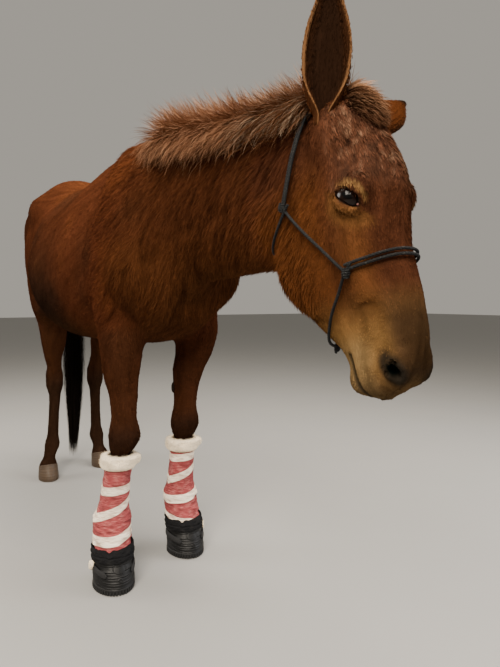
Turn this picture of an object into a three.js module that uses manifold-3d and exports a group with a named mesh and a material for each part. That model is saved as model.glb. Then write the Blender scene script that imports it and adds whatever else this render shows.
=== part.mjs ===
// A life-size mule standing quietly with its head low, as a still model.
// +X is the animal's left, -Y is forward, +Z is up, all in millimetres, with the floor at Z = 0.
// The shapes are laid out from a point under the middle of the barrel; the group then moves them
// so that the origin lies under the middle of the whole.
// The body is one smooth field, blended from sweeps along the trunk, neck, head and legs and from
// muscles laid over them. Each node is a piece of that field between the thin cuts that part it.
import * as THREE from "three";
import { mergeVertices } from "three/addons/utils/BufferGeometryUtils.js";
import Module from "manifold-3d";

const wasm = await Module();
wasm.setup();

// Driving dimensions
const GAP = 0.3; // between nodes that touch
const HEAD = { poll: [113, -1506, 1295], yaw: 10, pitch: 77 };
const EYE = { across: 71, behind: 57, down: 202, radius: 26 };
const ROPE = 3.2; // radius of the halter's rope

// The trunk, back along it: [place, top, bottom, half-width, across, roundness of its upper half]
const TRUNK = [
  [-800, 1010, 960, 24, 34, 2], // front of the breast
  [-775, 1110, 880, 108, 34, 2],
  [-700, 1240, 800, 172, 33, 1.9],
  [-600, 1350, 766, 196, 31, 1.8],
  [-470, 1440, 752, 206, 27, 1.65], // withers
  [-300, 1422, 744, 236, 18, 1.7],
  [-100, 1378, 738, 266, 8, 1.9], // saddle
  [100, 1385, 738, 278, 2, 2],
  [280, 1430, 752, 266, 0, 2], // loins
  [430, 1476, 806, 236, 0, 2], // croup
  [560, 1468, 884, 214, 0, 2],
  [680, 1412, 950, 176, 0, 2],
  [770, 1330, 1010, 112, 0, 2],
  [820, 1220, 1110, 24, 0, 2], // buttocks
];

// The neck, from the shoulders to the poll: [place, crest, underline, half-width, across]
const NECK_BASE = [20, -560, 1170];
const NECK_ALONG = [90, -840, -20];
const NECK = [
  [0, 225, -255, 140, 0],
  [150, 212, -232, 126, 0],
  [350, 190, -205, 100, 0],
  [550, 172, -190, 86, 0],
  [700, 165, -176, 82, 0],
  [800, 158, -150, 78, 0],
  [900, 120, -90, 56, 0],
];

// The head, down the face from the poll: [place, face, jaw, half-width, across]
const SKULL = [
  [-34, -72, -120, 20, 0],
  [0, -40, -170, 56, 0], // poll
  [60, -14, -208, 78, 0],
  [100, 0, -230, 86, 0],
  [150, 13, -252, 90, 0], // forehead
  [190, 15, -270, 88, 0], // eyes
  [240, 6, -284, 84, 0],
  [300, -2, -286, 76, 0], // angle of the jaw
  [345, 1, -261, 69, 0],
  [400, 5, -233, 60, 0],
  [435, 5, -208, 55, 0],
  [462, 3, -184, 53, 0],
  [485, -2, -172, 52, 0],
  [512, -12, -164, 51, 0], // nostrils
  [540, -34, -154, 45, 0],
  [560, -62, -138, 32, 0],
  [574, -92, -116, 10, 0], // lips
];

// Fore and hind legs, by height: [height, front, back, half-width] about the line of the bones
const FORE_LEG = [
  [60, 54, 48, 50],
  [92, 52, 47, 48], // coronet
  [140, 36, 38, 35], // pastern
  [195, 34, 44, 38], // fetlock
  [245, 27, 38, 29],
  [330, 25, 38, 26], // cannon
  [405, 30, 40, 33],
  [432, 43, 45, 45],
  [465, 50, 48, 53], // knee
  [530, 43, 46, 42],
  [595, 47, 50, 47],
  [655, 60, 60, 57], // forearm
  [720, 79, 73, 66],
  [800, 100, 88, 74], // elbow
  [940, 96, 90, 50],
];
const HIND_LEG = [
  [30, 52, 46, 48],
  [66, 49, 44, 44], // coronet
  [106, 32, 36, 30], // pastern
  [158, 36, 44, 38], // fetlock
  [210, 28, 38, 29],
  [320, 27, 39, 27], // cannon
  [405, 31, 46, 30],
  [470, 46, 58, 44], // hock
  [515, 48, 64, 44],
  [560, 44, 68, 37], // point of the hock
  [617, 50, 54, 45],
  [690, 76, 62, 60], // gaskin
  [780, 102, 84, 68],
  [860, 122, 112, 72], // stifle
  [980, 120, 130, 50],
];

// Where each leg's bones run: [height, across, back]
const LEG_LINES = {
  fore_right: [
    [0, -152, -608],
    [92, -150, -600],
    [195, -138, -562],
    [405, -112, -576],
    [465, -101, -582],
    [590, -101, -578],
    [655, -106, -574],
    [800, -104, -566],
    [940, -112, -556],
  ],
  fore_left: [
    [0, 140, -500],
    [92, 141, -494],
    [195, 143, -458],
    [405, 149, -478],
    [465, 150, -486],
    [590, 156, -488],
    [655, 164, -492],
    [760, 186, -505],
    [940, 180, -510],
  ],
  hind_right: [
    [0, -150, 572],
    [66, -148, 584],
    [158, -118, 628],
    [300, -104, 648],
    [405, -95, 655],
    [490, -94, 660],
    [560, -97, 636],
    [617, -108, 604],
    [690, -111, 576],
    [800, -122, 548],
    [980, -150, 560],
  ],
  hind_left: [
    [0, 140, 672],
    [66, 139, 684],
    [158, 135, 728],
    [300, 136, 745],
    [490, 137, 748],
    [560, 140, 724],
    [617, 147, 688],
    [690, 152, 656],
    [800, 160, 610],
    [980, 165, 590],
  ],
};

// Small helpers
const vec = (p) => new THREE.Vector3(...p);
const rad = THREE.MathUtils.degToRad;

// Blends two distances into one smooth surface over about the width k.
function blend(a, b, k) {
  const h = Math.max(k - Math.abs(a - b), 0) / k;
  return Math.min(a, b) - (h * h * k) / 4;
}

// Hollows the shape a by the shape b.
function hollow(a, b, k) {
  return -blend(-a, b, k);
}

// Reads rows of [place, size, size, ...] as smooth curves along the place.
function curves(rows) {
  const last = rows.length - 1;
  const rise = (i, c) => (rows[i + 1][c] - rows[i][c]) / (rows[i + 1][0] - rows[i][0]);
  const slope = (i, c) => {
    if (i === 0 || i === last) return 0;
    const [before, after] = [rise(i - 1, c), rise(i, c)];
    return before * after > 0 ? (2 * before * after) / (before + after) : 0;
  };
  const slopes = rows.map((row, i) => row.map((_, c) => (c ? slope(i, c) : 0)));
  return (place) => {
    const s = Math.min(Math.max(place, rows[0][0]), rows[last][0]);
    let i = 0;
    while (i < last - 1 && s > rows[i + 1][0]) i++;
    const span = rows[i + 1][0] - rows[i][0];
    const t = (s - rows[i][0]) / span;
    const rest = 1 - t;
    return rows[i].slice(1).map((a, n) => {
      const c = n + 1;
      const ease = t * t * (3 - 2 * t);
      return a + (rows[i + 1][c] - a) * ease + span * t * rest * (rest * slopes[i][c] - t * slopes[i + 1][c]);
    });
  };
}

const trunkSizes = curves(TRUNK);

// A sweep along a straight axis. Each row gives, at a place along it, the far and near edge of the
// section (up or forward, and down or back), its half-width, how far across its middle stands, and
// the roundness of its upper half.
function sweep({ origin, along, up, rows, round = 2, widest = 0.5 }) {
  const s = vec(along).normalize();
  const v = vec(up).addScaledVector(s, -vec(up).dot(s)).normalize();
  const u = new THREE.Vector3().crossVectors(s, v);
  const sizes = curves(rows);
  const [first, last] = [rows[0][0], rows[rows.length - 1][0]];
  const p = new THREE.Vector3();
  return (x, y, z) => {
    p.set(x - origin[0], y - origin[1], z - origin[2]);
    const place = p.dot(s);
    const [high, low, half, across, roof = round] = sizes(place);
    const middle = low + (high - low) * widest;
    const du = Math.abs(p.dot(u) - across) + 1e-3;
    const dv = Math.abs(p.dot(v) - middle) + 1e-3;
    const above = p.dot(v) > middle;
    const power = above ? roof : round;
    const a = (du / half) ** power;
    const b = (dv / (above ? high - middle : middle - low)) ** power;
    const norm = (a + b) ** (1 / power);
    const steep = norm ** (1 - power) * Math.hypot(a / du, b / dv);
    const side = (norm - 1) / steep;
    const end = Math.max(first - place, place - last);
    return end > 0 ? Math.hypot(Math.max(side, 0), end) : Math.max(side, end);
  };
}

// A muscle or the end of a bone: an ellipsoid from one point to another, so wide and so thick, with
// its thickness along the direction out.
function muscle({ from, to, wide, thick, out = [1, 0, 0] }) {
  const centre = vec(from).add(vec(to)).multiplyScalar(0.5);
  const s = vec(to).sub(vec(from));
  const long = s.length() / 2;
  s.normalize();
  const w = vec(out).addScaledVector(s, -vec(out).dot(s)).normalize();
  const v = new THREE.Vector3().crossVectors(s, w);
  const p = new THREE.Vector3();
  return (x, y, z) => {
    p.set(x, y, z).sub(centre);
    const [i, j, k] = [p.dot(s) / long, p.dot(v) / wide, p.dot(w) / thick];
    const norm = Math.hypot(i, j, k);
    const steep = Math.hypot(i / long, j / wide, k / thick);
    return steep > 1e-9 ? (norm * (norm - 1)) / steep : -thick;
  };
}

// A muscle on both sides, measured out from the trunk's middle: [distance, blend] pairs.
const trunkMiddle = (y) => trunkSizes(y)[3];
function pair({ from, to, wide, thick, out = [1, 0, 0] }, width) {
  return [1, -1].map((side) => {
    const place = ([x, y, z]) => [side * x + trunkMiddle(y), y, z];
    const way = [side * out[0], out[1], out[2]];
    return [muscle({ from: place(from), to: place(to), wide, thick, out: way }), width];
  });
}

// The head's own frame: u to its left, v out of the face, s down the face.
const headAxes = (() => {
  const [yaw, pitch] = [rad(HEAD.yaw), rad(HEAD.pitch)];
  const ahead = new THREE.Vector3(Math.sin(yaw), -Math.cos(yaw), 0);
  const u = new THREE.Vector3(Math.cos(yaw), Math.sin(yaw), 0);
  const s = ahead.clone().multiplyScalar(Math.cos(pitch)).add(new THREE.Vector3(0, 0, -Math.sin(pitch)));
  const v = ahead.clone().multiplyScalar(Math.sin(pitch)).add(new THREE.Vector3(0, 0, Math.cos(pitch)));
  return { u, v, s };
})();
const headMatrix = new THREE.Matrix4()
  .makeBasis(headAxes.u, headAxes.v, headAxes.s)
  .setPosition(...HEAD.poll);
const inHead = (u, v, s) => new THREE.Vector3(u, v, s).applyMatrix4(headMatrix).toArray();
const headWay = (u, v, s) => new THREE.Vector3(u, v, s).transformDirection(headMatrix).toArray();

// A muscle of the head on both sides, placed in the head's frame.
function headPair({ from, to, wide, thick, out = [1, 0, 0] }, width) {
  return [1, -1].map((side) => [
    muscle({
      from: inHead(side * from[0], from[1], from[2]),
      to: inHead(side * to[0], to[1], to[2]),
      wide,
      thick,
      out: headWay(side * out[0], out[1], out[2]),
    }),
    width,
  ]);
}

const trunk = sweep({
  origin: [0, 0, 0],
  along: [0, 1, 0],
  up: [0, 0, 1],
  rows: TRUNK,
  round: 2.1,
  widest: 0.44,
});
const neck = sweep({ origin: NECK_BASE, along: NECK_ALONG, up: [0, 0, 1], rows: NECK, widest: 0.42 });
const skull = sweep({
  origin: HEAD.poll,
  along: headAxes.s.toArray(),
  up: headAxes.v.toArray(),
  rows: SKULL,
  round: 2.3,
  widest: 0.62,
});

// A leg: its rows of sizes hung on the line of its bones.
function leg(rows, line) {
  const path = curves(line);
  const placed = rows.map(([z, front, back, half]) => {
    const [x, y] = path(z);
    return [z, front - y, -back - y, half, x];
  });
  return sweep({ origin: [0, 0, 0], along: [0, 0, 1], up: [0, -1, 0], rows: placed, round: 2.1 });
}
const legs = {
  fore_right: leg(FORE_LEG, LEG_LINES.fore_right),
  fore_left: leg(FORE_LEG, LEG_LINES.fore_left),
  hind_right: leg(HIND_LEG, LEG_LINES.hind_right),
  hind_left: leg(HIND_LEG, LEG_LINES.hind_left),
};

const CROUP_OUT = [0.6, 0, 0.8];
const trunkMuscles = [
  ...pair({ from: [70, -500, 1340], to: [165, -720, 1010], wide: 118, thick: 50 }, 70), // shoulder blade
  ...pair({ from: [150, -470, 1120], to: [166, -560, 850], wide: 120, thick: 56 }, 80), // upper arm
  ...pair({ from: [150, -735, 1060], to: [150, -690, 900], wide: 72, thick: 56 }, 70), // shoulder's point
  ...pair({ from: [62, -770, 1000], to: [62, -690, 840], wide: 74, thick: 56 }, 60), // breast
  ...pair({ from: [188, 330, 1330], to: [204, 400, 1275], wide: 52, thick: 36 }, 80), // point of the hip
  ...pair({ from: [85, 340, 1370], to: [130, 680, 1270], wide: 130, thick: 76, out: CROUP_OUT }, 90), // croup
  ...pair({ from: [158, 545, 1270], to: [152, 560, 850], wide: 176, thick: 74 }, 80), // thigh
  ...pair({ from: [88, 760, 1290], to: [112, 690, 900], wide: 84, thick: 66 }, 70), // buttock
  ...pair({ from: [160, 430, 920], to: [150, 455, 815], wide: 68, thick: 58 }, 60), // stifle
];
const flanks = pair({ from: [276, 240, 1300], to: [286, 350, 1170], wide: 76, thick: 34 }, 70);

const headMuscles = [
  ...headPair({ from: [62, -84, 14], to: [62, -94, 108], wide: 36, thick: 34 }, 36), // root of the ear
  ...headPair({ from: [73, -38, 158], to: [79, -48, 220], wide: 32, thick: 18 }, 34), // rim of the eye
  ...headPair({ from: [72, -90, 228], to: [56, -82, 372], wide: 16, thick: 13 }, 34), // facial crest
  ...headPair({ from: [54, -195, 150], to: [46, -190, 380], wide: 88, thick: 28 }, 40), // cheek
  ...headPair({ from: [33, -26, 486], to: [30, -62, 552], wide: 24, thick: 20 }, 20), // nostril
  ...headPair({ from: [10, -148, 505], to: [12, -140, 556], wide: 26, thick: 20 }, 20), // chin
];
const headHollows = [
  ...headPair({ from: [72, -24, 96], to: [80, -32, 142], wide: 20, thick: 12 }, 30), // above the eye
  ...headPair({ from: [58, -66, 400], to: [55, -74, 490], wide: 22, thick: 13 }, 26), // behind the nostril
];

const head = (x, y, z) => {
  let d = skull(x, y, z);
  for (const [shape, k] of headMuscles) d = blend(d, shape(x, y, z), k);
  for (const [shape, k] of headHollows) d = hollow(d, shape(x, y, z), k);
  return d;
};

// The whole animal but its ears, mane, tail and hooves
function body(x, y, z) {
  let d = trunk(x, y, z);
  for (const [shape, k] of trunkMuscles) d = blend(d, shape(x, y, z), k);
  for (const [shape, k] of flanks) d = hollow(d, shape(x, y, z), k);
  d = blend(d, neck(x, y, z), 110);
  d = blend(d, head(x, y, z), 34);
  for (const name of ["fore_right", "fore_left"]) d = blend(d, legs[name](x, y, z), 46);
  for (const name of ["hind_right", "hind_left"]) d = blend(d, legs[name](x, y, z), 60);
  return d;
}

// Ticks along one axis, from stretches of [start, end, about the step].
function ticks(...stretches) {
  const at = [stretches[0][0]];
  for (const [start, end, step] of stretches) {
    const count = Math.max(1, Math.round((end - start) / step));
    for (let i = 1; i <= count; i++) at.push(start + ((end - start) * i) / count);
  }
  return at;
}

// Wraps a field's surface in quads on a grid of ticks, in the frame of a matrix, and draws every
// corner onto the surface.
function wrap(field, grid, matrix = new THREE.Matrix4()) {
  const n = grid.map((axis) => axis.length);
  const point = (i, j, k) => new THREE.Vector3(grid[0][i], grid[1][j], grid[2][k]).applyMatrix4(matrix);
  const index = (i, j, k) => (i * n[1] + j) * n[2] + k;
  const value = new Float64Array(n[0] * n[1] * n[2]);
  const each = (counts, visit) => {
    for (let i = 0; i < counts[0]; i++)
      for (let j = 0; j < counts[1]; j++) for (let k = 0; k < counts[2]; k++) visit(i, j, k);
  };
  each(n, (i, j, k) => {
    const p = point(i, j, k);
    const edge = [i, j, k].some((m, axis) => m === 0 || m === n[axis] - 1);
    value[index(i, j, k)] = edge ? 1e3 : field(p.x, p.y, p.z);
  });
  const corners = [0, 1, 2, 3, 4, 5, 6, 7].map((c) => [c >> 2, (c >> 1) & 1, c & 1]);
  const vertex = new Map();
  const positions = [];
  each(n.map((m) => m - 1), (i, j, k) => {
    const sum = new THREE.Vector3();
    let crossings = 0;
    for (const a of corners)
      for (const b of corners) {
        const steps = b.map((m, axis) => m - a[axis]);
        if (Math.min(...steps) < 0 || steps[0] + steps[1] + steps[2] !== 1) continue;
        const va = value[index(i + a[0], j + a[1], k + a[2])];
        const vb = value[index(i + b[0], j + b[1], k + b[2])];
        if (va < 0 === vb < 0) continue;
        const pa = point(i + a[0], j + a[1], k + a[2]);
        sum.add(pa.lerp(point(i + b[0], j + b[1], k + b[2]), Math.min(Math.max(va / (va - vb), 0.05), 0.95)));
        crossings++;
      }
    if (!crossings) return;
    vertex.set(index(i, j, k), positions.length / 3);
    positions.push(...onto(field, sum.divideScalar(crossings)).toArray());
  });
  const faces = [];
  each(n.map((m) => m - 1), (i, j, k) => {
    const here = value[index(i, j, k)] < 0;
    for (let axis = 0; axis < 3; axis++) {
      const [b, c] = [(axis + 1) % 3, (axis + 2) % 3];
      const cell = [i, j, k];
      if (!cell[b] || !cell[c]) continue;
      const next = [...cell];
      next[axis]++;
      if (here === value[index(...next)] < 0) continue;
      const at = [[0, 0], [-1, 0], [-1, -1], [0, -1]].map(([db, dc]) => {
        const near = [...cell];
        near[b] += db;
        near[c] += dc;
        return vertex.get(index(...near));
      });
      const [p, q, r, s] = here ? at : at.reverse();
      faces.push(p, q, r, p, r, s);
    }
  });
  return geometryOf(evened(field, positions, faces), faces);
}

// Evens out the corners of a mesh along the surface that they lie on.
function evened(field, positions, faces, rounds = 4) {
  const points = [];
  for (let i = 0; i < positions.length; i += 3) points.push(new THREE.Vector3().fromArray(positions, i));
  for (let round = 0; round < rounds; round++) {
    const sums = points.map(() => new THREE.Vector3());
    const counts = points.map(() => 0);
    for (let i = 0; i < faces.length; i += 3)
      for (let c = 0; c < 3; c++) {
        sums[faces[i + c]].add(points[faces[i + ((c + 1) % 3)]]);
        counts[faces[i + c]]++;
      }
    points.forEach((p, i) => onto(field, p.lerp(sums[i].divideScalar(counts[i]), 0.5)));
  }
  return points.flatMap((p) => p.toArray());
}

// A closed body of rings, each seen from a point along a line, in a plane across the way. Its
// corners lie where the field's surface is first met.
function loft(field, rings, sides, side = [1, 0, 0]) {
  const positions = [];
  const faces = [];
  const ray = new THREE.Vector3();
  rings.forEach(({ at, way }) => {
    const ahead = vec(way).normalize();
    const u = vec(side).addScaledVector(ahead, -vec(side).dot(ahead)).normalize();
    const v = new THREE.Vector3().crossVectors(ahead, u);
    for (let k = 0; k < sides; k++) {
      const angle = (2 * Math.PI * (k + 0.5)) / sides;
      ray.copy(u).multiplyScalar(Math.cos(angle)).addScaledVector(v, Math.sin(angle));
      const value = (r) => field(at[0] + ray.x * r, at[1] + ray.y * r, at[2] + ray.z * r);
      let [near, far] = [0, 6];
      while (value(far) < 0 && far < 600) {
        near = far;
        far += 6;
      }
      for (let i = 0; i < 12; i++) {
        const middle = (near + far) / 2;
        if (value(middle) < 0) near = middle;
        else far = middle;
      }
      positions.push(at[0] + ray.x * near, at[1] + ray.y * near, at[2] + ray.z * near);
    }
  });
  positions.push(...rings[0].at, ...rings[rings.length - 1].at);
  return geometryOf(positions, shell(rings.length, sides));
}

// Moves a point onto a field's surface, along its slope.
function onto(field, p) {
  const e = 0.5;
  for (let i = 0; i < 4; i++) {
    const d = field(p.x, p.y, p.z);
    const slope = new THREE.Vector3(
      field(p.x + e, p.y, p.z) - field(p.x - e, p.y, p.z),
      field(p.x, p.y + e, p.z) - field(p.x, p.y - e, p.z),
      field(p.x, p.y, p.z + e) - field(p.x, p.y, p.z - e),
    ).divideScalar(2 * e);
    const steep = Math.max(slope.lengthSq(), 0.2);
    p.addScaledVector(slope, THREE.MathUtils.clamp(-d / steep, -8, 8));
  }
  return p;
}

function geometryOf(positions, faces) {
  const geometry = new THREE.BufferGeometry();
  geometry.setAttribute("position", new THREE.Float32BufferAttribute(positions, 3));
  geometry.setIndex(faces);
  return geometry;
}

// A three.js geometry as a solid that can be joined and cut.
function solid(geometry) {
  const bare = geometry.clone();
  bare.deleteAttribute("normal");
  bare.deleteAttribute("uv");
  const merged = mergeVertices(bare, 1e-3);
  return new wasm.Manifold(
    new wasm.Mesh({
      numProp: 3,
      vertProperties: new Float32Array(merged.attributes.position.array),
      triVerts: new Uint32Array(merged.index.array),
    }),
  );
}

// The space on one side of every plane, each a point and the way out of the space.
function space(planes, grow) {
  let block = solid(new THREE.BoxGeometry(6000, 6000, 6000));
  for (const { point, out } of planes) {
    const way = vec(out).normalize().negate();
    block = block.trimByPlane(way.toArray(), way.dot(vec(point)) - grow);
  }
  return block;
}

// A point on the field's surface, first met from a point inside it, and lifted off it.
function surface(from, way, lift = 0, field = body) {
  const [p, step] = [vec(from), vec(way).normalize()];
  while (field(p.x, p.y, p.z) < -2) p.addScaledVector(step, Math.max(-field(p.x, p.y, p.z) * 0.5, 1));
  return onto(field, p).addScaledVector(step, lift);
}

// A closed body from rings of points, each ring as long as the next.
function stack(rings) {
  const sides = rings[0].length;
  const middle = (ring) => ring.reduce((sum, p) => sum.add(p), new THREE.Vector3()).divideScalar(sides);
  const points = [...rings.flat(), middle(rings[0]), middle(rings[rings.length - 1])];
  return geometryOf(points.flatMap((p) => p.toArray()), shell(rings.length, sides));
}

// The faces of stacked rings, with a fan at each end.
function shell(count, sides) {
  const faces = [];
  const last = (count - 1) * sides;
  for (let k = 0; k < sides; k++) {
    const next = (k + 1) % sides;
    for (let i = 0; i < last; i += sides) {
      faces.push(i + k, i + next, i + sides + next, i + k, i + sides + next, i + sides + k);
    }
    faces.push(last + sides, next, k, last + sides + 1, last + k, last + next);
  }
  return faces;
}

// A level ring, longer ahead of its middle than behind it.
function oval([x, y], z, half, front, back, sides = 16) {
  return Array.from({ length: sides }, (_, k) => {
    const angle = (2 * Math.PI * (k + 0.5)) / sides;
    const reach = Math.sin(angle) < 0 ? front : back;
    return new THREE.Vector3(x + half * Math.cos(angle), y + reach * Math.sin(angle), z);
  });
}

// A round bar through some points.
function bar(points, radius, { sides = 5, pieces = points.length * 2 } = {}) {
  const curve = new THREE.CatmullRomCurve3(points);
  const frames = curve.computeFrenetFrames(pieces);
  const rings = Array.from({ length: pieces + 1 }, (_, i) => {
    const centre = curve.getPointAt(i / pieces);
    const r = typeof radius === "number" ? radius : radius(i / pieces);
    return Array.from({ length: sides }, (_, k) => {
      const angle = (2 * Math.PI * k) / sides;
      return centre.clone()
        .addScaledVector(frames.normals[i], r * Math.cos(angle))
        .addScaledVector(frames.binormals[i], r * Math.sin(angle));
    });
  });
  return solid(stack(rings));
}

// A flat tapered lock, which leaves its root one way and bends to another.
function lock({ root, way, bend, flat, length, width, thick, steps = 3 }) {
  const centre = root.clone();
  const rings = [];
  const step = 1 / (steps - 0.45);
  for (let i = 0; i < steps; i++) {
    const t = i * step;
    const ahead = way.clone().lerp(bend, t).normalize();
    if (i) centre.addScaledVector(ahead, length * step);
    const side = flat.clone().addScaledVector(ahead, -flat.dot(ahead)).normalize();
    const out = new THREE.Vector3().crossVectors(ahead, side);
    const size = 0.5 * (0.72 + 1.05 * t - 1.25 * t * t);
    rings.push([
      centre.clone().addScaledVector(side, width * size),
      centre.clone().addScaledVector(out, thick * size),
      centre.clone().addScaledVector(side, -width * size),
      centre.clone().addScaledVector(out, -thick * size),
    ]);
  }
  const tip = centre.clone().addScaledVector(bend.clone().normalize(), length * (1 - (steps - 1) * step));
  const heel = rings[0].reduce((sum, p) => sum.add(p), new THREE.Vector3()).divideScalar(4);
  return solid(geometryOf([...rings.flat(), heel, tip].flatMap((p) => p.toArray()), shell(rings.length, 4)));
}

// Seeded chance, so that every run makes the same locks.
function seeded(seed) {
  let state = seed;
  return (low = 0, high = 1) => {
    state = (state * 1664525 + 1013904223) % 4294967296;
    return low + ((high - low) * state) / 4294967296;
  };
}

const union = (shapes) => wasm.Manifold.union(shapes);

const NECK_CUT = { point: [0, -690, 1180], out: [0, 0.9, -0.43] };
const POLL_CUT = { point: inHead(0, -60, -12), out: headWay(0, -0.72, -0.69) };
const flipped = ({ point, out }) => ({ point, out: out.map((c) => -c) });
const LEG_CUTS = {
  fore_right: [
    { point: [-40, -560, 750], out: [0.6, 0, 0.8] },
    { point: [0, -430, 800], out: [0, 1, 0] },
  ],
  fore_left: [
    { point: [95, -500, 750], out: [-0.6, 0, 0.8] },
    { point: [0, -370, 800], out: [0, 1, 0] },
  ],
  hind_right: [
    { point: [-20, 560, 800], out: [0.36, 0, 0.93] },
    { point: [0, 400, 815], out: [0, -0.87, -0.49] },
  ],
  hind_left: [
    { point: [30, 600, 800], out: [-0.36, 0, 0.93] },
    { point: [0, 440, 815], out: [0, -0.87, -0.49] },
  ],
};

// The point of a line from a to b on a plane, drawn back by half the gap.
function meet(a, b, { point, out }) {
  const [start, along, normal] = [vec(a), vec(b).sub(vec(a)), vec(out).normalize()];
  const t = (normal.dot(vec(point).sub(start)) - GAP / 2) / normal.dot(along);
  return start.addScaledVector(along, t).toArray();
}

// Nodes of the body
const trunkGrid = [
  ticks([-322, 342, 62]),
  ticks([-870, -430, 73], [-430, 250, 98], [250, 900, 72]),
  ticks([650, 1540, 64]),
];
let torso = solid(wrap(body, trunkGrid)).intersect(space([flipped(NECK_CUT)], -GAP / 2));
for (const cuts of Object.values(LEG_CUTS)) torso = torso.subtract(space(cuts, GAP / 2));

// The neck's rings turn from the plane of the shoulders to the plane behind the jaw.
const neckRings = (() => {
  const start = meet([20, -800, 1170], [10, -500, 1175], NECK_CUT);
  const end = meet([100, -1300, 1180], inHead(0, -180, 120), flipped(POLL_CUT));
  const ways = [NECK_CUT, POLL_CUT].map(({ out }) => vec(out).negate().normalize());
  const count = 9;
  return Array.from({ length: count }, (_, i) => {
    const t = i / (count - 1);
    return {
      at: vec(start).lerp(vec(end), t).toArray(),
      way: ways[0].clone().lerp(ways[1], t).toArray(),
    };
  });
})();
const neckBody = solid(loft(body, neckRings, 22));

const headGrid = [
  ticks([-126, 126, 23]),
  ticks([-320, 50, 25]),
  ticks([-70, 450, 28], [450, 600, 17]),
];
let headBody = solid(wrap(body, headGrid, headMatrix));

// Eyes, set in sockets under the brows, with lids about them
const eyes = {};
for (const [name, side] of [["right", -1], ["left", 1]]) {
  const centre = vec(inHead(side * EYE.across, -EYE.behind, EYE.down));
  const out = vec(headWay(side * 0.86, 0.5, 0.05)).normalize();
  const slit = vec(headWay(-side * 0.28, 0.7, 0.72));
  slit.addScaledVector(out, -slit.dot(out)).normalize();
  const above = new THREE.Vector3().crossVectors(slit, out).multiplyScalar(side).normalize();
  const place = new THREE.Matrix4()
    .makeBasis(slit, above, new THREE.Vector3().crossVectors(slit, above))
    .setPosition(centre);
  const ball = (grow) => solid(new THREE.SphereGeometry(EYE.radius + grow, 12, 8).applyMatrix4(place));
  const opening = new THREE.SphereGeometry(1, 10, 6).scale(28, 16, 18).applyMatrix4(place);
  opening.translate(...out.clone().multiplyScalar(31).toArray());
  headBody = headBody.subtract(solid(opening));
  for (const way of [1, -1]) {
    const lid = [0, 0.2, 0.5, 0.8, 1].map((t) => {
      const angle = Math.PI * t;
      const open = rad(66 - (way > 0 ? 43 : 38) * Math.sin(angle));
      return centre.clone()
        .addScaledVector(out, (EYE.radius + 1) * Math.cos(open))
        .addScaledVector(slit, (EYE.radius + 1) * Math.sin(open) * Math.cos(angle))
        .addScaledVector(above, (EYE.radius + 1) * Math.sin(open) * Math.sin(angle) * way);
    });
    headBody = headBody.add(bar(lid, (t) => 2 + 3 * Math.sin(Math.PI * t), { pieces: 5, sides: 4 }));
  }
  headBody = headBody.subtract(ball(GAP));
  eyes[name] = ball(0);
}

// Nostrils: a long opening on each side of the muzzle, with a raised rim
for (const side of [1, -1]) {
  const centre = surface(inHead(side * 14, -80, 496), headWay(side * 0.62, 0.64, 0.42));
  const out = vec(headWay(side * 0.72, 0.52, 0.44)).normalize();
  const along = vec(headWay(-side * 0.5, 0.3, 0.8));
  along.addScaledVector(out, -along.dot(out)).normalize();
  const place = new THREE.Matrix4()
    .makeBasis(along, new THREE.Vector3().crossVectors(out, along), out)
    .setPosition(centre);
  const rim = new THREE.TorusGeometry(15, 5.5, 4, 8).scale(1.2, 0.8, 1).translate(0, 0, -1.5);
  const hole = new THREE.SphereGeometry(1, 8, 5).scale(14, 8, 17);
  headBody = headBody.add(solid(rim.applyMatrix4(place))).subtract(solid(hole.applyMatrix4(place)));
}

// The line of the mouth, a groove from one corner round the lips to the other
const MOUTH = [[476, -140], [498, -139], [520, -137], [540, -133], [556, -126]];
const lips = MOUTH.map(([s, v]) => surface(inHead(0, v, s), headWay(1, 0, 0.15)));
const front = surface(inHead(0, -110, 520), headWay(0, -0.06, 1));
const otherLips = MOUTH.map(([s, v]) => surface(inHead(0, v, s), headWay(-1, 0, 0.15))).reverse();
headBody = headBody.subtract(bar([...lips, front, ...otherLips], 2.6, { sides: 4, pieces: 11 }));

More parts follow.
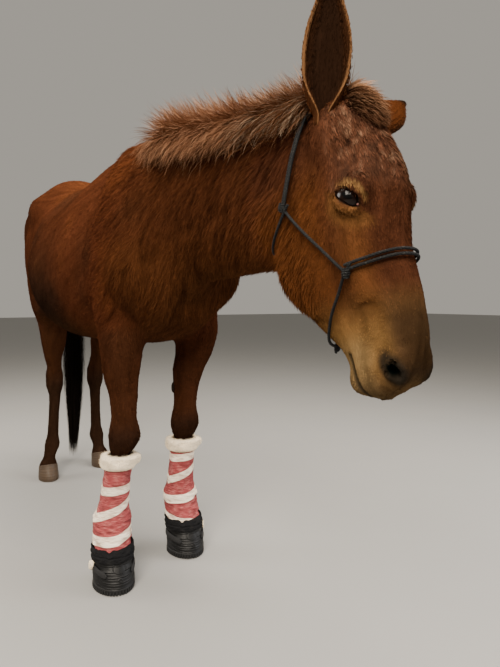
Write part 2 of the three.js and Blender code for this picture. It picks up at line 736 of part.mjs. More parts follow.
// An ear: a tall cup, nearly closed to a tube at its base: [place, half-width, depth, opening, thickness]
const EAR = [
  [0, 19, 20, 150, 7],
  [0.09, 28, 25, 132, 7],
  [0.18, 37, 26, 116, 6],
  [0.3, 44, 25, 102, 6],
  [0.43, 45.5, 22, 95, 5],
  [0.56, 42, 18, 88, 5],
  [0.7, 31, 14, 84, 4],
  [0.84, 17, 9, 78, 3.5],
  [0.94, 8, 5, 74, 2.5],
  [1, 2, 1.5, 70, 1],
];
const EARS = {
  right: {
    base: inHead(-72, -84, 34),
    way: [0.1, 0.05, 1],
    face: [-0.62, -0.78, 0.05],
    bend: 26,
    length: 286,
  },
  left: {
    base: inHead(58, -84, 24),
    way: [0.8, 0.42, 0.44],
    face: [0.2, 0.75, -0.5],
    bend: -8,
    length: 272,
  },
};
function ear({ base, way, face, bend, length }) {
  const up = vec(way).normalize();
  const ahead = vec(face).addScaledVector(up, -vec(face).dot(up)).normalize();
  const side = new THREE.Vector3().crossVectors(up, ahead);
  const at = (t, a, b) => vec(base)
    .addScaledVector(up, length * t)
    .addScaledVector(side, a)
    .addScaledVector(ahead, b + bend * t * t);
  const count = 6;
  const wall = (t, half, depth, open, part) => Array.from({ length: count + 1 }, (_, j) => {
    const angle = rad(open) * (1 - (2 * j) / count) * part;
    return at(t, half * Math.sin(angle), -depth * Math.cos(angle));
  });
  const rings = EAR.map(([t, half, depth, open, thick]) => [
    ...wall(t, half, depth, open, 1),
    ...wall(t, half - thick, depth - thick, open, -1),
  ]);
  const cup = rings.flat().flatMap((p) => p.toArray());
  const sides = 2 * (count + 1);
  const faces = [];
  for (let k = 0; k < sides; k++) {
    const next = (k + 1) % sides;
    for (let i = 0; i < (rings.length - 1) * sides; i += sides) {
      faces.push(i + k, i + next, i + sides + next, i + k, i + sides + next, i + sides + k);
    }
  }
  const last = (rings.length - 1) * sides;
  for (let j = 0; j < count; j++) {
    const [a, b, c, d] = [j, j + 1, sides - 2 - j, sides - 1 - j];
    faces.push(a, d, b, b, d, c, last + a, last + b, last + d, last + b, last + c, last + d);
  }
  const plug = (places) => solid(stack(places.map(([t, grow]) => {
    const [half, depth] = curves(EAR)(Math.max(t, 0));
    return Array.from({ length: 10 }, (_, k) => {
      const angle = (2 * Math.PI * k) / 10;
      return at(t, -(half + grow) * Math.cos(angle), (depth + grow) * Math.sin(angle));
    });
  })));
  return {
    shape: solid(geometryOf(cup, faces)).add(plug([[-0.1, 1], [0.05, 1]])),
    seat: plug([[-0.105, 2], [0.05, 3], [0.18, 4], [0.42, 5]]),
  };
}
const ears = { right: ear(EARS.right), left: ear(EARS.left) };
const earSeats = union(Object.values(ears).map(({ seat }) => seat));

// Legs: each leg's rings turn from level to the plane where it leaves the trunk.
const LEG_RINGS = {
  fore: [92, 104, 126, 150, 192, 358, 370, 394, 406, 430, 456, 482, 516, 570, 620, 670, 720, 760],
  hind: [66, 82, 106, 132, 158, 184, 220, 300, 380, 420, 450, 475, 500, 525, 550, 580, 620, 680, 745],
};
const LEG_SIDES = 12;
const level = new THREE.Vector3(0, 0, 1);
const legAt = (name, z) => [...curves(LEG_LINES[name])(z), z];
function legRings(name) {
  const [cut] = LEG_CUTS[name];
  const kind = name.split("_")[0];
  const top = meet(legAt(name, 760), legAt(name, 860), cut);
  const rings = LEG_RINGS[kind].filter((z) => z < top[2] - 22).map((z) => {
    const lean = THREE.MathUtils.smoothstep(z, 560, top[2]);
    const way = level.clone().lerp(vec(cut.out).normalize(), lean);
    if (kind === "hind") way.y += 0.3 * (1 - THREE.MathUtils.smoothstep(z, 66, 110));
    return { at: legAt(name, z), way: way.toArray() };
  });
  return [...rings, { at: top, way: cut.out }];
}
const legSolids = {};
for (const name of Object.keys(LEG_LINES)) {
  const limit = LEG_CUTS[name][1];
  const stop = vec(limit.out).normalize();
  const reach = stop.dot(vec(limit.point)) - GAP / 2;
  const field = (x, y, z) => {
    const d = body(x, y, z);
    return z < 650 ? d : Math.max(d, stop.x * x + stop.y * y + stop.z * z - reach);
  };
  legSolids[name] = solid(loft(field, legRings(name), LEG_SIDES));
}

// Horny chestnuts on the inner sides of the forearms
for (const [name, side] of [["fore_right", 1], ["fore_left", -1]]) {
  const place = surface(legAt(name, 590), [side, 0.25, 0]);
  const chestnut = new THREE.SphereGeometry(1, 6, 4).scale(5, 11, 21).translate(...place.toArray());
  legSolids[name] = legSolids[name].add(solid(chestnut));
}

// Hooves: [height, half-width, front, back] below the coronet
const HIND_HOOF = [[0, 47, 70, 46], [14, 48, 70, 46], [66, 45, 51, 43]];
const FORE_HOOF = [[12.3, 49, 72, 48], [24, 50, 70, 48], [91.7, 46, 50, 44]];
function hoof(name) {
  const fore = name.startsWith("fore");
  const rows = fore ? FORE_HOOF : HIND_HOOF;
  const rings = rows.map(([z, half, front, back]) => oval(legAt(name, z), z, half, front, back, 12));
  if (!fore) rings[2].forEach((p) => (p.z += -GAP + (legAt(name, 66)[1] - p.y) * 0.3));
  return solid(stack(rings));
}

// Sleeves about the fore legs: [height, thickness over the leg]
const SLEEVES = {
  wrap: [[104, 15], [126, 22], [150, 25], [192, 23], [358, 20]],
  padding: [[358, 22], [370, 34], [394, 34], [406, 22]],
  gaiter: [[88.3, 20], [104, 24], [128, 31]],
};
const wrapThickness = (z) => curves(SLEEVES.wrap)(z)[0];
function sleeve(name, rows, inner) {
  const thickness = curves(rows);
  const field = (x, y, z) => body(x, y, z) - thickness(z)[0];
  const lining = (x, y, z) => body(x, y, z) - inner(z);
  const rings = (heights) => heights.map((z) => ({ at: legAt(name, z), way: [0, 0, 1] }));
  const heights = rows.map(([z]) => z);
  const [low, high] = [heights[0], heights[heights.length - 1]];
  const within = [low - 1, ...heights.slice(1, -1), high + 1];
  const outer = solid(loft(field, rings(heights), LEG_SIDES));
  return outer.subtract(solid(loft(lining, rings(within), LEG_SIDES)));
}

// Boots: a moulded shell on a ribbed sole: [height, half-width, front, back]
const BOOT = [
  [0, 63, 86, 62],
  [5, 66, 91, 66],
  [16, 66, 90, 66],
  [19, 63, 87, 63],
  [22, 66, 90, 66],
  [42, 65, 86, 66],
  [62, 65, 80, 64],
  [88, 63, 68, 60],
];
const BOOT_HOLLOW = [
  [12, 50, 73, 49],
  [24, 51, 71, 49],
  [88, 47.2, 52, 45.5],
  [92, 47, 51.5, 45],
];
function boot(name) {
  const shape = (rows) => {
    return solid(stack(rows.map(([z, half, front, back]) => oval(legAt(name, z), z, half, front, back, 12))));
  };
  return shape(BOOT).subtract(shape(BOOT_HOLLOW));
}

// Mane: short, bushy and leaning to the right, in rows along the crest
const chance = seeded(7);
const crestLine = new THREE.CatmullRomCurve3([
  surface([18, -640, 1200], [0, 0, 1]),
  ...neckRings.slice(1, -1).map(({ at }) => surface(at, [0, 0.02, 1])),
  surface(inHead(0, -160, 60), headWay(0, 0.2, -1)),
]);
const ridge = bar(
  [0.05, 0.25, 0.5, 0.75, 0.9].map((t) => crestLine.getPointAt(t).add(new THREE.Vector3(-13, 0, 3))),
  (t) => 27 - 11 * Math.abs(2 * t - 0.9),
  { sides: 7, pieces: 9 },
);
const MANE_ROWS = [
  { count: 11, across: -1, up: -4, way: [-0.1, 0.1, 1], bend: [-1, 0.25, 0.45], length: 96 },
  { count: 11, across: -10, up: 3, way: [-1, 0.1, 0.4], bend: [-0.35, 0.15, -1], length: 118 },
];
const mane = MANE_ROWS.flatMap(({ count, across, up, way, bend, length }, row) => {
  return Array.from({ length: count }, (_, i) => {
    const t = (0.93 * (i + 0.4 + 0.4 * row + chance(-0.12, 0.12))) / count;
    const taper = 0.62 + 0.38 * Math.sin(Math.PI * Math.min(1, t * 1.25 + 0.12));
    return lock({
      root: crestLine.getPointAt(t).add(new THREE.Vector3(across, 0, up)),
      way: vec(way),
      bend: vec(bend).add(new THREE.Vector3(chance(-0.12, 0.12), chance(-0.2, 0.3), chance(-0.1, 0.1))),
      flat: new THREE.Vector3(0.1, 1, chance(-0.2, 0.2)),
      length: length * taper * chance(0.9, 1.1),
      width: chance(112, 128),
      thick: chance(24, 30),
    });
  });
});

// Forelock: rows of locks that rise between the ears and fall to the left of the forehead
const FORELOCK_ROWS = [
  { count: 4, s: -6, across: -44, apart: 21, rise: 0.95, length: 104 },
  { count: 3, s: 24, across: -32, apart: 18, rise: 0.6, length: 78 },
  { count: 3, s: 48, across: -24, apart: 18, rise: 0.25, length: 60 },
];
const forelock = FORELOCK_ROWS.flatMap(({ count, s, across, apart, rise, length }) => {
  return Array.from({ length: count }, (_, i) => {
    const u = across + apart * i + chance(-4, 4);
    return lock({
      root: surface(inHead(u, -110, Math.max(s, 20)), headWay(0, 0.75, s < 20 ? -0.5 : 0), -9),
      way: vec(headWay(0.05 + 0.06 * i, 0.75, -rise)),
      bend: vec(headWay(0.25 + chance(-0.15, 0.15), 0, 0.95)),
      flat: vec(headWay(0.9, -0.1, -0.3 + chance(-0.15, 0.15))),
      length: length * chance(0.92, 1.1),
      width: chance(46, 54),
      thick: chance(20, 24),
    });
  });
});

// Tail: the dock, and long hair hanging to the fetlocks
const TAIL_PATH = [
  [0, 672, 1360],
  [0, 738, 1360],
  [0, 788, 1330],
  [2, 824, 1270],
  [10, 846, 1170],
  [28, 850, 980],
  [44, 848, 720],
  [43, 845, 470],
];
const TAIL_END = [[38, 843, 260], [30, 842, 24]];
const dockRadius = (t) => 34 - 24 * t;
function dock(grow) {
  const points = TAIL_PATH.map(vec);
  points[0].y -= grow;
  return bar(points, (t) => dockRadius(t) + grow, { sides: 8, pieces: 9 });
}
const tailLine = new THREE.CatmullRomCurve3([...TAIL_PATH, ...TAIL_END].map(vec));
const TAIL_LOCKS = 14;
const tailLocks = Array.from({ length: TAIL_LOCKS }, (_, i) => {
  const start = 0.16 + 0.52 * (i / (TAIL_LOCKS - 1));
  const reach = Math.min(start + chance(0.3, 0.4), chance(0.95, 1));
  const [root, end] = [tailLine.getPointAt(start), tailLine.getPointAt(reach)];
  const spread = 46 * Math.min(1, start * 4) * (1.1 - reach * 0.85);
  const behind = start < 0.4 ? 0.25 : -1;
  const off = new THREE.Vector3(Math.cos(i * 2.4) * 1.25, Math.max(Math.sin(i * 2.4), behind), 0);
  const from = root.clone().addScaledVector(off, dockRadius(Math.min(start * 1.4, 1)) * 0.55);
  const to = end.clone().addScaledVector(off, spread);
  return lock({
    root: from,
    way: tailLine.getTangentAt(start).addScaledVector(off, 0.12),
    bend: to.clone().sub(from).normalize(),
    flat: start < 0.4 ? new THREE.Vector3(1, 0.15, 0) : new THREE.Vector3(-off.y, off.x, 0),
    length: to.distanceTo(from),
    width: chance(66, 84),
    thick: chance(20, 27),
  });
});

// Rope halter: each length hugs the head round an angle seen from a point inside it.
function girdle({ centre, toward, from, to, count, lift = 5 }) {
  const [across, ahead] = [vec(headWay(1, 0, 0)), vec(headWay(...toward))];
  return Array.from({ length: count }, (_, i) => {
    const angle = rad(from + ((to - from) * i) / (count - 1));
    const way = across.clone().multiplyScalar(Math.sin(angle)).addScaledVector(ahead, Math.cos(angle));
    return surface(inHead(...centre), way.toArray(), lift);
  });
}
const HALTER = {
  crown_front: { centre: [0, -178, 90], toward: [0, 0.4, -0.92], from: -137, to: 137, count: 11, lift: 7 },
  crown_rear: { centre: [0, -186, 87], toward: [0, 0.38, -0.93], from: -137, to: 137, count: 11, lift: 7 },
  throat: { centre: [0, -200, 170], toward: [0, -0.8, 0.6], from: -96, to: 96, count: 9, lift: 10 },
  nose_upper: { centre: [0, -90, 322], toward: [0, 1, -0.14], from: -84, to: 84, count: 10 },
  nose_lower: { centre: [0, -90, 331], toward: [0, 1, -0.13], from: -84, to: 84, count: 10 },
  jaw: { centre: [0, -130, 382], toward: [0, -0.7, 0.71], from: -136, to: 136, count: 9, lift: 10.8 },
};
const KNOTS = { cheek: [163, -213], side: [336, -80] };
const ropes = {};
for (const [name, size] of Object.entries(HALTER)) {
  const points = girdle(size);
  ropes[name] = (grow) => bar(points, ROPE + grow, { sides: 5, pieces: points.length });
}
const knots = {};
for (const [side, name] of [[-1, "right"], [1, "left"]]) {
  for (const [kind, [s, v]] of Object.entries(KNOTS)) {
    const out = headWay(side, 0, 0);
    knots[`${kind}_${name}`] = { centre: surface(inHead(0, v, s), out, 10.5), out };
  }
  const places = [0, 0.33, 0.67, 1].map((t) => {
    const [s, v] = [0, 1].map((c) => KNOTS.cheek[c] + (KNOTS.side[c] - KNOTS.cheek[c]) * t);
    return surface(inHead(0, v, s), headWay(side, 0, 0), 6.3);
  });
  ropes[`cheek_${name}`] = (grow) => bar(places, ROPE + grow, { sides: 5, pieces: 5 });
}
const underJaw = girdle({ ...HALTER.jaw, from: 0, to: 1, count: 2, lift: 14 })[0];
knots.chin = { centre: underJaw, out: headWay(...HALTER.jaw.toward) };
function knotShape({ centre, out }, grow) {
  const along = vec(headWay(0, 0.3, -1));
  const [side, ahead] = [new THREE.Vector3().crossVectors(along, vec(out)).normalize(), vec(out)];
  return solid(stack([[-9, 6], [-5, 9.5], [0, 7.5], [5, 9.5], [9, 6]].map(([place, radius]) => {
    return Array.from({ length: 6 }, (_, k) => {
      const angle = (Math.PI * k) / 3;
      return centre.clone()
        .addScaledVector(along, place + Math.sign(place) * grow)
        .addScaledVector(ahead, (radius + grow) * Math.cos(angle))
        .addScaledVector(side, (radius + grow) * Math.sin(angle));
    });
  })));
}

const group = new THREE.Group();

// Adds a node, from the largest closed surface of a solid.
function add(name, shape, material) {
  const largest = shape.decompose().sort((a, b) => b.volume() - a.volume())[0];
  const mesh = largest.getMesh();
  const form = geometryOf(Array.from(mesh.vertProperties), Array.from(mesh.triVerts));
  const node = new THREE.Mesh(form, material);
  node.name = name;
  group.add(node);
}
const paint = (color, roughness) => new THREE.MeshStandardMaterial({ color, roughness, metalness: 0 });

const crownCut = union([ropes.crown_front(GAP + 0.2), ropes.crown_rear(GAP + 0.2)]);
add("torso", torso.subtract(dock(GAP)), paint(0x5c2d14, 0.6));
const neckHair = union([ridge, ...mane]).intersect(space([NECK_CUT, flipped(POLL_CUT)], -GAP / 2));
add("neck", neckBody.add(neckHair).subtract(crownCut).subtract(earSeats), paint(0x7a4424, 0.65));
const headSide = space([POLL_CUT], -GAP / 2);
add("head", headBody.add(union(forelock)).intersect(headSide).subtract(earSeats), paint(0x85502c, 0.65));
add("tail", union([dock(0), ...tailLocks]), paint(0x15110f, 0.7));
for (const side of ["right", "left"]) {
  add(`ear_${side}`, ears[side].shape, paint(0x5a3019, 0.7));
  add(`eye_${side}`, eyes[side], paint(0x0d0806, 0.1));
}
for (const name of Object.keys(LEG_LINES)) {
  add(`leg_${name}`, legSolids[name], paint(0x3f2012, 0.6));
  add(`hoof_${name}`, hoof(name), paint(0x5f5040, 0.6));
}
for (const name of ["fore_right", "fore_left"]) {
  const under = space([{ point: [0, 0, 358 - GAP], out: [0, 0, 1] }], 0);
  add(`padding_${name}`, sleeve(name, SLEEVES.padding, () => 0.7), paint(0xe6ded4, 0.95));
  add(`wrap_${name}`, sleeve(name, SLEEVES.wrap, () => 0.7).intersect(under), paint(0xb96a66, 0.9));
  const inner = (z) => (z < 104 ? 8 : wrapThickness(z) + 0.7);
  add(`gaiter_${name}`, sleeve(name, SLEEVES.gaiter, inner), paint(0x17171a, 0.85));
  add(`boot_${name}`, boot(name), paint(0x1e1e20, 0.7));
}
const knotCut = union(Object.values(knots).map((knot) => knotShape(knot, GAP * 2)));
let ropeCut = knotCut;
for (const [name, rope] of Object.entries(ropes)) {
  add(`halter_${name}`, rope(0).subtract(ropeCut), paint(0x2a2b2c, 0.9));
  ropeCut = ropeCut.add(rope(GAP));
}
for (const [name, knot] of Object.entries(knots)) {
  add(`halter_knot_${name}`, knotShape(knot, 0), paint(0x232425, 0.9));
}

// The origin stands on the floor, under the middle of the whole.
const middle = new THREE.Box3().setFromObject(group).getCenter(new THREE.Vector3());
group.position.set(-middle.x, -middle.y, 0);

export default group;
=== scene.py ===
"""A life-size mule standing quietly with its head low, dressed over its solids.

The body's skin is one smooth field, blended from the same sweeps and muscles as the solids and
drawn in by the coat's depth. Shapes are laid out in millimetres from a point under the middle of
the barrel, and `placed` moves them into the frame, in metres.
"""

import math

import bmesh
import bpy
import numpy as np
import openvdb
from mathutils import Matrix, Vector


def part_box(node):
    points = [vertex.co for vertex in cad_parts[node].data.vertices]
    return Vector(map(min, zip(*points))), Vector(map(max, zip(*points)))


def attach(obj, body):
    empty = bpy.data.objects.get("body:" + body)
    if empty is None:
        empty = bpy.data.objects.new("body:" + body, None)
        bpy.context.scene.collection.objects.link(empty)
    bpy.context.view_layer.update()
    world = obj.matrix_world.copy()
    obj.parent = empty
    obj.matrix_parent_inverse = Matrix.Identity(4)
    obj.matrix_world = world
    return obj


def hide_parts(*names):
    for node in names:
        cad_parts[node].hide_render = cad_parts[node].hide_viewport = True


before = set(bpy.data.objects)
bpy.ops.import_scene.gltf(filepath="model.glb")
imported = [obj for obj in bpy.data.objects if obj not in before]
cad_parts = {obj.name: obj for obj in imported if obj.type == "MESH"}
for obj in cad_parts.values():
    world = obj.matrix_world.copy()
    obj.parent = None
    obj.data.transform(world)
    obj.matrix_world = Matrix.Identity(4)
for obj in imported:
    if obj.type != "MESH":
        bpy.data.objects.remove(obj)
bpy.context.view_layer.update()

bl_info = {
    "name": "Mule",
    "version": (1, 0, 0),
    "blender": (4, 5, 0),
    "location": "View3D > Sidebar > Mule",
    "description": "Builds a standing mule with its coat, halter, bandages and boots",
    "category": "Object",
}

POLL = np.array([113.0, -1506.0, 1295.0])
YAW, PITCH = math.radians(10), math.radians(77)
EYE = {"across": 71, "behind": 57, "down": 202, "radius": 26}

# The trunk, back along it: [place, top, bottom, half-width, across, roundness of its upper half]
TRUNK = [
    [-800, 1010, 960, 24, 34, 2], [-775, 1110, 880, 108, 34, 2], [-700, 1240, 800, 172, 33, 1.9],
    [-600, 1350, 766, 196, 31, 1.8], [-470, 1440, 752, 206, 27, 1.65],
    [-300, 1422, 744, 236, 18, 1.7], [-100, 1378, 738, 266, 8, 1.9], [100, 1385, 738, 278, 2, 2],
    [280, 1430, 752, 266, 0, 2], [430, 1476, 806, 236, 0, 2], [560, 1468, 884, 214, 0, 2],
    [680, 1412, 950, 176, 0, 2], [770, 1330, 1010, 112, 0, 2], [820, 1220, 1110, 24, 0, 2],
]

# The neck, from the shoulders to the poll: [place, crest, underline, half-width, across]
NECK = [
    [0, 225, -255, 140, 0], [150, 212, -232, 126, 0], [350, 190, -205, 100, 0],
    [550, 172, -190, 86, 0], [700, 165, -176, 82, 0], [800, 158, -150, 78, 0],
    [900, 120, -90, 56, 0],
]

# The head, down the face from the poll: [place, face, jaw, half-width, across]
SKULL = [
    [-34, -72, -120, 20, 0], [0, -40, -170, 56, 0], [60, -14, -208, 78, 0], [100, 0, -230, 86, 0],
    [150, 13, -252, 90, 0], [190, 15, -270, 88, 0], [240, 6, -284, 84, 0], [300, -2, -286, 76, 0],
    [345, 1, -261, 69, 0], [400, 5, -233, 60, 0], [435, 5, -208, 55, 0], [462, 3, -184, 53, 0],
    [485, -2, -172, 52, 0], [512, -12, -164, 51, 0], [540, -34, -154, 45, 0],
    [560, -62, -138, 32, 0], [574, -92, -116, 10, 0],
]

# Fore and hind legs, by height: [height, front, back, half-width] about the line of the bones
FORE_LEG = [
    [60, 54, 48, 50], [92, 52, 47, 48], [140, 36, 38, 35], [195, 34, 44, 38], [245, 27, 38, 29],
    [330, 25, 38, 26], [405, 30, 40, 33], [432, 43, 45, 45], [465, 50, 48, 53], [530, 43, 46, 42],
    [595, 47, 50, 47], [655, 60, 60, 57], [720, 79, 73, 66], [800, 100, 88, 74], [940, 96, 90, 50],
]
HIND_LEG = [
    [30, 52, 46, 48], [66, 49, 44, 44], [106, 32, 36, 30], [158, 36, 44, 38], [210, 28, 38, 29],
    [320, 27, 39, 27], [405, 31, 46, 30], [470, 46, 58, 44], [515, 48, 64, 44], [560, 44, 68, 37],
    [617, 50, 54, 45], [690, 76, 62, 60], [780, 102, 84, 68], [860, 122, 112, 72],
    [980, 120, 130, 50],
]

# Where each leg's bones run: [height, across, back]
LEG_LINES = {
    "fore_right": [
        [0, -152, -608], [92, -150, -600], [195, -138, -562], [405, -112, -576], [465, -101, -582],
        [590, -101, -578], [655, -106, -574], [800, -104, -566], [940, -112, -556],
    ],
    "fore_left": [
        [0, 140, -500], [92, 141, -494], [195, 143, -458], [405, 149, -478], [465, 150, -486],
        [590, 156, -488], [655, 164, -492], [760, 186, -505], [940, 180, -510],
    ],
    "hind_right": [
        [0, -150, 572], [66, -148, 584], [158, -118, 628], [300, -104, 648], [405, -95, 655],
        [490, -94, 660], [560, -97, 636], [617, -108, 604], [690, -111, 576], [800, -122, 548],
        [980, -150, 560],
    ],
    "hind_left": [
        [0, 140, 672], [66, 139, 684], [158, 135, 728], [300, 136, 745], [490, 137, 748],
        [560, 140, 724], [617, 147, 688], [690, 152, 656], [800, 160, 610], [980, 165, 590],
    ],
}


# Small helpers
def unit(v):
    v = np.asarray(v, float)
    return v / np.maximum(np.linalg.norm(v, axis=-1, keepdims=True), 1e-12)


def ease(low, high, x):
    """A smooth step from 0 at low to 1 at high, which may lie either way round."""
    t = np.clip((np.asarray(x, float) - low) / (high - low), 0, 1)
    return t * t * (3 - 2 * t)


def blend(a, b, k):
    """Blends two distances into one smooth surface over about the width k."""
    h = np.maximum(k - np.abs(a - b), 0) / k
    return np.minimum(a, b) - h * h * k / 4


def hollow(a, b, k):
    return -blend(-a, b, k)


def curves(rows):
    """Rows of [place, size, size, ...] as smooth curves along the place."""
    rows = np.array(rows, float)
    places, sizes = rows[:, 0], rows[:, 1:]
    rise = np.diff(sizes, axis=0) / np.diff(places)[:, None]
    slopes = np.zeros_like(sizes)
    before, after = rise[:-1], rise[1:]
    same = before * after > 0
    slopes[1:-1][same] = 2 * (before * after)[same] / (before + after)[same]

    def at(place):
        s = np.clip(np.asarray(place, float), places[0], places[-1])
        i = np.clip(np.searchsorted(places, s) - 1, 0, len(places) - 2)
        span = places[i + 1] - places[i]
        t = ((s - places[i]) / span)[..., None]
        step = t * t * (3 - 2 * t)
        bow = span[..., None] * t * (1 - t) * ((1 - t) * slopes[i] - t * slopes[i + 1])
        return sizes[i] + (sizes[i + 1] - sizes[i]) * step + bow

    return at


def hashed(cells, seed):
    """A number from 0 to 1 for each whole-numbered cell."""
    a = cells.astype(np.int64) * np.array([73856093, 19349663, 83492791])
    n = (a[..., 0] ^ a[..., 1] ^ a[..., 2]) + seed * 7919
    n = (n ^ (n >> 13)) * 1274126177
    return ((n ^ (n >> 16)) & 0xFFFF) / 65535.0


def noise(p, size, seed=0):
    """Smooth noise from -1 to 1 with features of about the size."""
    q = np.asarray(p, float) / size
    cell = np.floor(q)
    t = q - cell
    t = t * t * (3 - 2 * t)
    total = 0
    for corner in np.ndindex(2, 2, 2):
        c = np.array(corner)
        weight = np.prod(np.where(c, t, 1 - t), axis=-1)
        total = total + weight * hashed(cell + c, seed)
    return 2 * total - 1


def streaks(p, lie, size, reach, seed=0):
    """Noise drawn out along the coat's lie, from about -1 to 1."""
    steps = np.linspace(-1, 1, 7)
    return sum(noise(p + lie * (reach * t), size, seed) for t in steps) / math.sqrt(len(steps)) / 0.62


def circle(sides):
    return 2 * np.pi * np.arange(sides) / sides


# The field: each shape is a distance and the box that it fills
def sweep(origin, along, up, rows, roundness=2.0, widest=0.5):
    """A sweep along a straight axis, with a far and near edge, a half-width and a place across."""
    s = unit(along)
    v = unit(np.array(up, float) - s * (np.array(up, float) @ s))
    u = np.cross(s, v)
    origin = np.array(origin, float)
    first, last = rows[0][0], rows[-1][0]
    steps = np.linspace(first, last, int(last - first) + 1)
    table = curves(rows)(steps)

    def distance(p):
        q = p - origin
        place = q @ s
        sizes = [np.interp(place, steps, column) for column in table.T]
        high, low, half, across = sizes[:4]
        roof = sizes[4] if len(sizes) > 4 else roundness
        middle = low + (high - low) * widest
        rise = q @ v - middle
        du = np.abs(q @ u - across) + 1e-3
        dv = np.abs(rise) + 1e-3
        power = np.where(rise > 0, roof, roundness)
        a = (du / half) ** power
        b = (dv / np.where(rise > 0, high - middle, middle - low)) ** power
        norm = (a + b) ** (1 / power)
        steep = norm ** (1 - power) * np.hypot(a / du, b / dv)
        side = (norm - 1) / steep
        end = np.maximum(first - place, place - last)
        return np.where(end > 0, np.hypot(np.maximum(side, 0), end), np.maximum(side, end))

    corners = []
    for i in range(0, len(steps), 20):
        high, low, half, across = table[i][:4]
        for a in (across - half, across + half):
            corners += [origin + s * steps[i] + u * a + v * b for b in (low, high)]
    return distance, np.min(corners, axis=0), np.max(corners, axis=0)


def muscle(start, end, wide, thick, out=(1, 0, 0)):
    """An ellipsoid from one point to another, so wide and so thick, thick along the direction out."""
    start, end = np.array(start, float), np.array(end, float)
    centre = (start + end) / 2
    long = np.linalg.norm(end - start) / 2
    s = (end - start) / (2 * long)
    w = unit(np.array(out, float) - s * (np.array(out, float) @ s))
    v = np.cross(s, w)

    def distance(p):
        q = p - centre
        i, j, k = q @ s / long, q @ v / wide, q @ w / thick
        norm = np.sqrt(i * i + j * j + k * k)
        steep = np.sqrt((i / long) ** 2 + (j / wide) ** 2 + (k / thick) ** 2)
        return np.where(steep > 1e-9, norm * (norm - 1) / np.maximum(steep, 1e-9), -thick)

    reach = max(long, wide, thick)
    return distance, centre - reach, centre + reach


def pair(start, end, wide, thick, width, out=(1, 0, 0)):
    """A muscle on both sides, measured out from the trunk's middle."""
    middle = curves(TRUNK)
    shapes = []
    for side in (1, -1):
        points = [[side * x + middle(y)[3], y, z] for x, y, z in (start, end)]
        way = [side * out[0], out[1], out[2]]
        shapes.append((muscle(*points, wide, thick, way), width))
    return shapes


ahead = np.array([math.sin(YAW), -math.cos(YAW), 0])
down = np.array([0, 0, -1.0])
HEAD = np.array(
    [
        [math.cos(YAW), math.sin(YAW), 0],
        ahead * math.sin(PITCH) - down * math.cos(PITCH),
        ahead * math.cos(PITCH) + down * math.sin(PITCH),
    ]
)


def to_head(p):
    """Points as across, out of and down the face."""
    return (p - POLL) @ HEAD.T


def in_head(u, v, s):
    """A point given across, out of and down the face."""
    return POLL + np.array([u, v, s], float) @ HEAD


def head_way(u, v, s):
    return unit(np.array([u, v, s], float) @ HEAD)


def head_pair(start, end, wide, thick, width):
    shapes = []
    for side in (1, -1):
        points = [in_head(side * u, v, s) for u, v, s in (start, end)]
        shapes.append((muscle(*points, wide, thick, head_way(side, 0, 0)), width))
    return shapes


trunk = sweep([0, 0, 0], [0, 1, 0], [0, 0, 1], TRUNK, 2.1, 0.44)
neck = sweep([20, -560, 1170], [90, -840, -20], [0, 0, 1], NECK, 2, 0.42)
skull = sweep(POLL, HEAD[2], HEAD[1], SKULL, 2.3, 0.62)


def leg(rows, line):
    path = curves(line)
    placed_rows = []
    for z, front, back, half in rows:
        x, y = path(z)
        placed_rows.append([z, front - y, -back - y, half, x])
    return sweep([0, 0, 0], [0, 0, 1], [0, -1, 0], placed_rows, 2.1)


legs = {
    name: leg(FORE_LEG if name.startswith("fore") else HIND_LEG, line)
    for name, line in LEG_LINES.items()
}
trunk_muscles = [
    *pair([70, -500, 1340], [165, -720, 1010], 118, 50, 70),
    *pair([150, -470, 1120], [166, -560, 850], 120, 56, 80),
    *pair([150, -735, 1060], [150, -690, 900], 72, 56, 70),
    *pair([62, -770, 1000], [62, -690, 840], 74, 56, 60),
    *pair([188, 330, 1330], [204, 400, 1275], 52, 36, 80),
    *pair([85, 340, 1370], [130, 680, 1270], 130, 76, 90, (0.6, 0, 0.8)),
    *pair([158, 545, 1270], [152, 560, 850], 176, 74, 80),
    *pair([88, 760, 1290], [112, 690, 900], 84, 66, 70),
    *pair([160, 430, 920], [150, 455, 815], 68, 58, 60),
]
flanks = pair([276, 240, 1300], [286, 350, 1170], 76, 34, 70)
head_muscles = [
    *head_pair([62, -84, 14], [62, -94, 108], 36, 34, 36),
    *head_pair([73, -38, 158], [79, -48, 220], 32, 18, 34),
    *head_pair([72, -90, 228], [56, -82, 372], 16, 13, 34),
    *head_pair([54, -195, 150], [46, -190, 380], 88, 28, 40),
    *head_pair([33, -26, 486], [30, -62, 552], 24, 20, 20),
    *head_pair([10, -148, 505], [12, -140, 556], 26, 20, 20),
]
head_hollows = [
    *head_pair([72, -24, 96], [80, -32, 142], 20, 12, 30),
    *head_pair([58, -66, 400], [55, -74, 490], 22, 13, 26),
]


def join(d, p, shape, k, how=blend):
    """Joins a shape to the distances of the points that lie near it."""
    distance, low, high = shape
    near = ((p > low - k - 40) & (p < high + k + 40)).all(axis=1)
    if near.any():
        d[near] = how(d[near], distance(p[near]), k)


def head(p):
    d = skull[0](p)
    for shape, k in head_muscles:
        join(d, p, shape, k)
    for shape, k in head_hollows:
        join(d, p, shape, k, hollow)
    return d


HEAD_BOX = (skull[1] - 30, skull[2] + 30)


def body(p):
    """The whole animal's distance, but its ears, mane, tail and hooves."""
    d = np.full(len(p), 400.0)
    join(d, p, trunk, 40)
    for shape, k in trunk_muscles:
        join(d, p, shape, k)
    for shape, k in flanks:
        join(d, p, shape, k, hollow)
    join(d, p, neck, 110)
    join(d, p, (head, *HEAD_BOX), 34)
    for name, shape in legs.items():
        join(d, p, shape, 46 if name.startswith("fore") else 60)
    return d


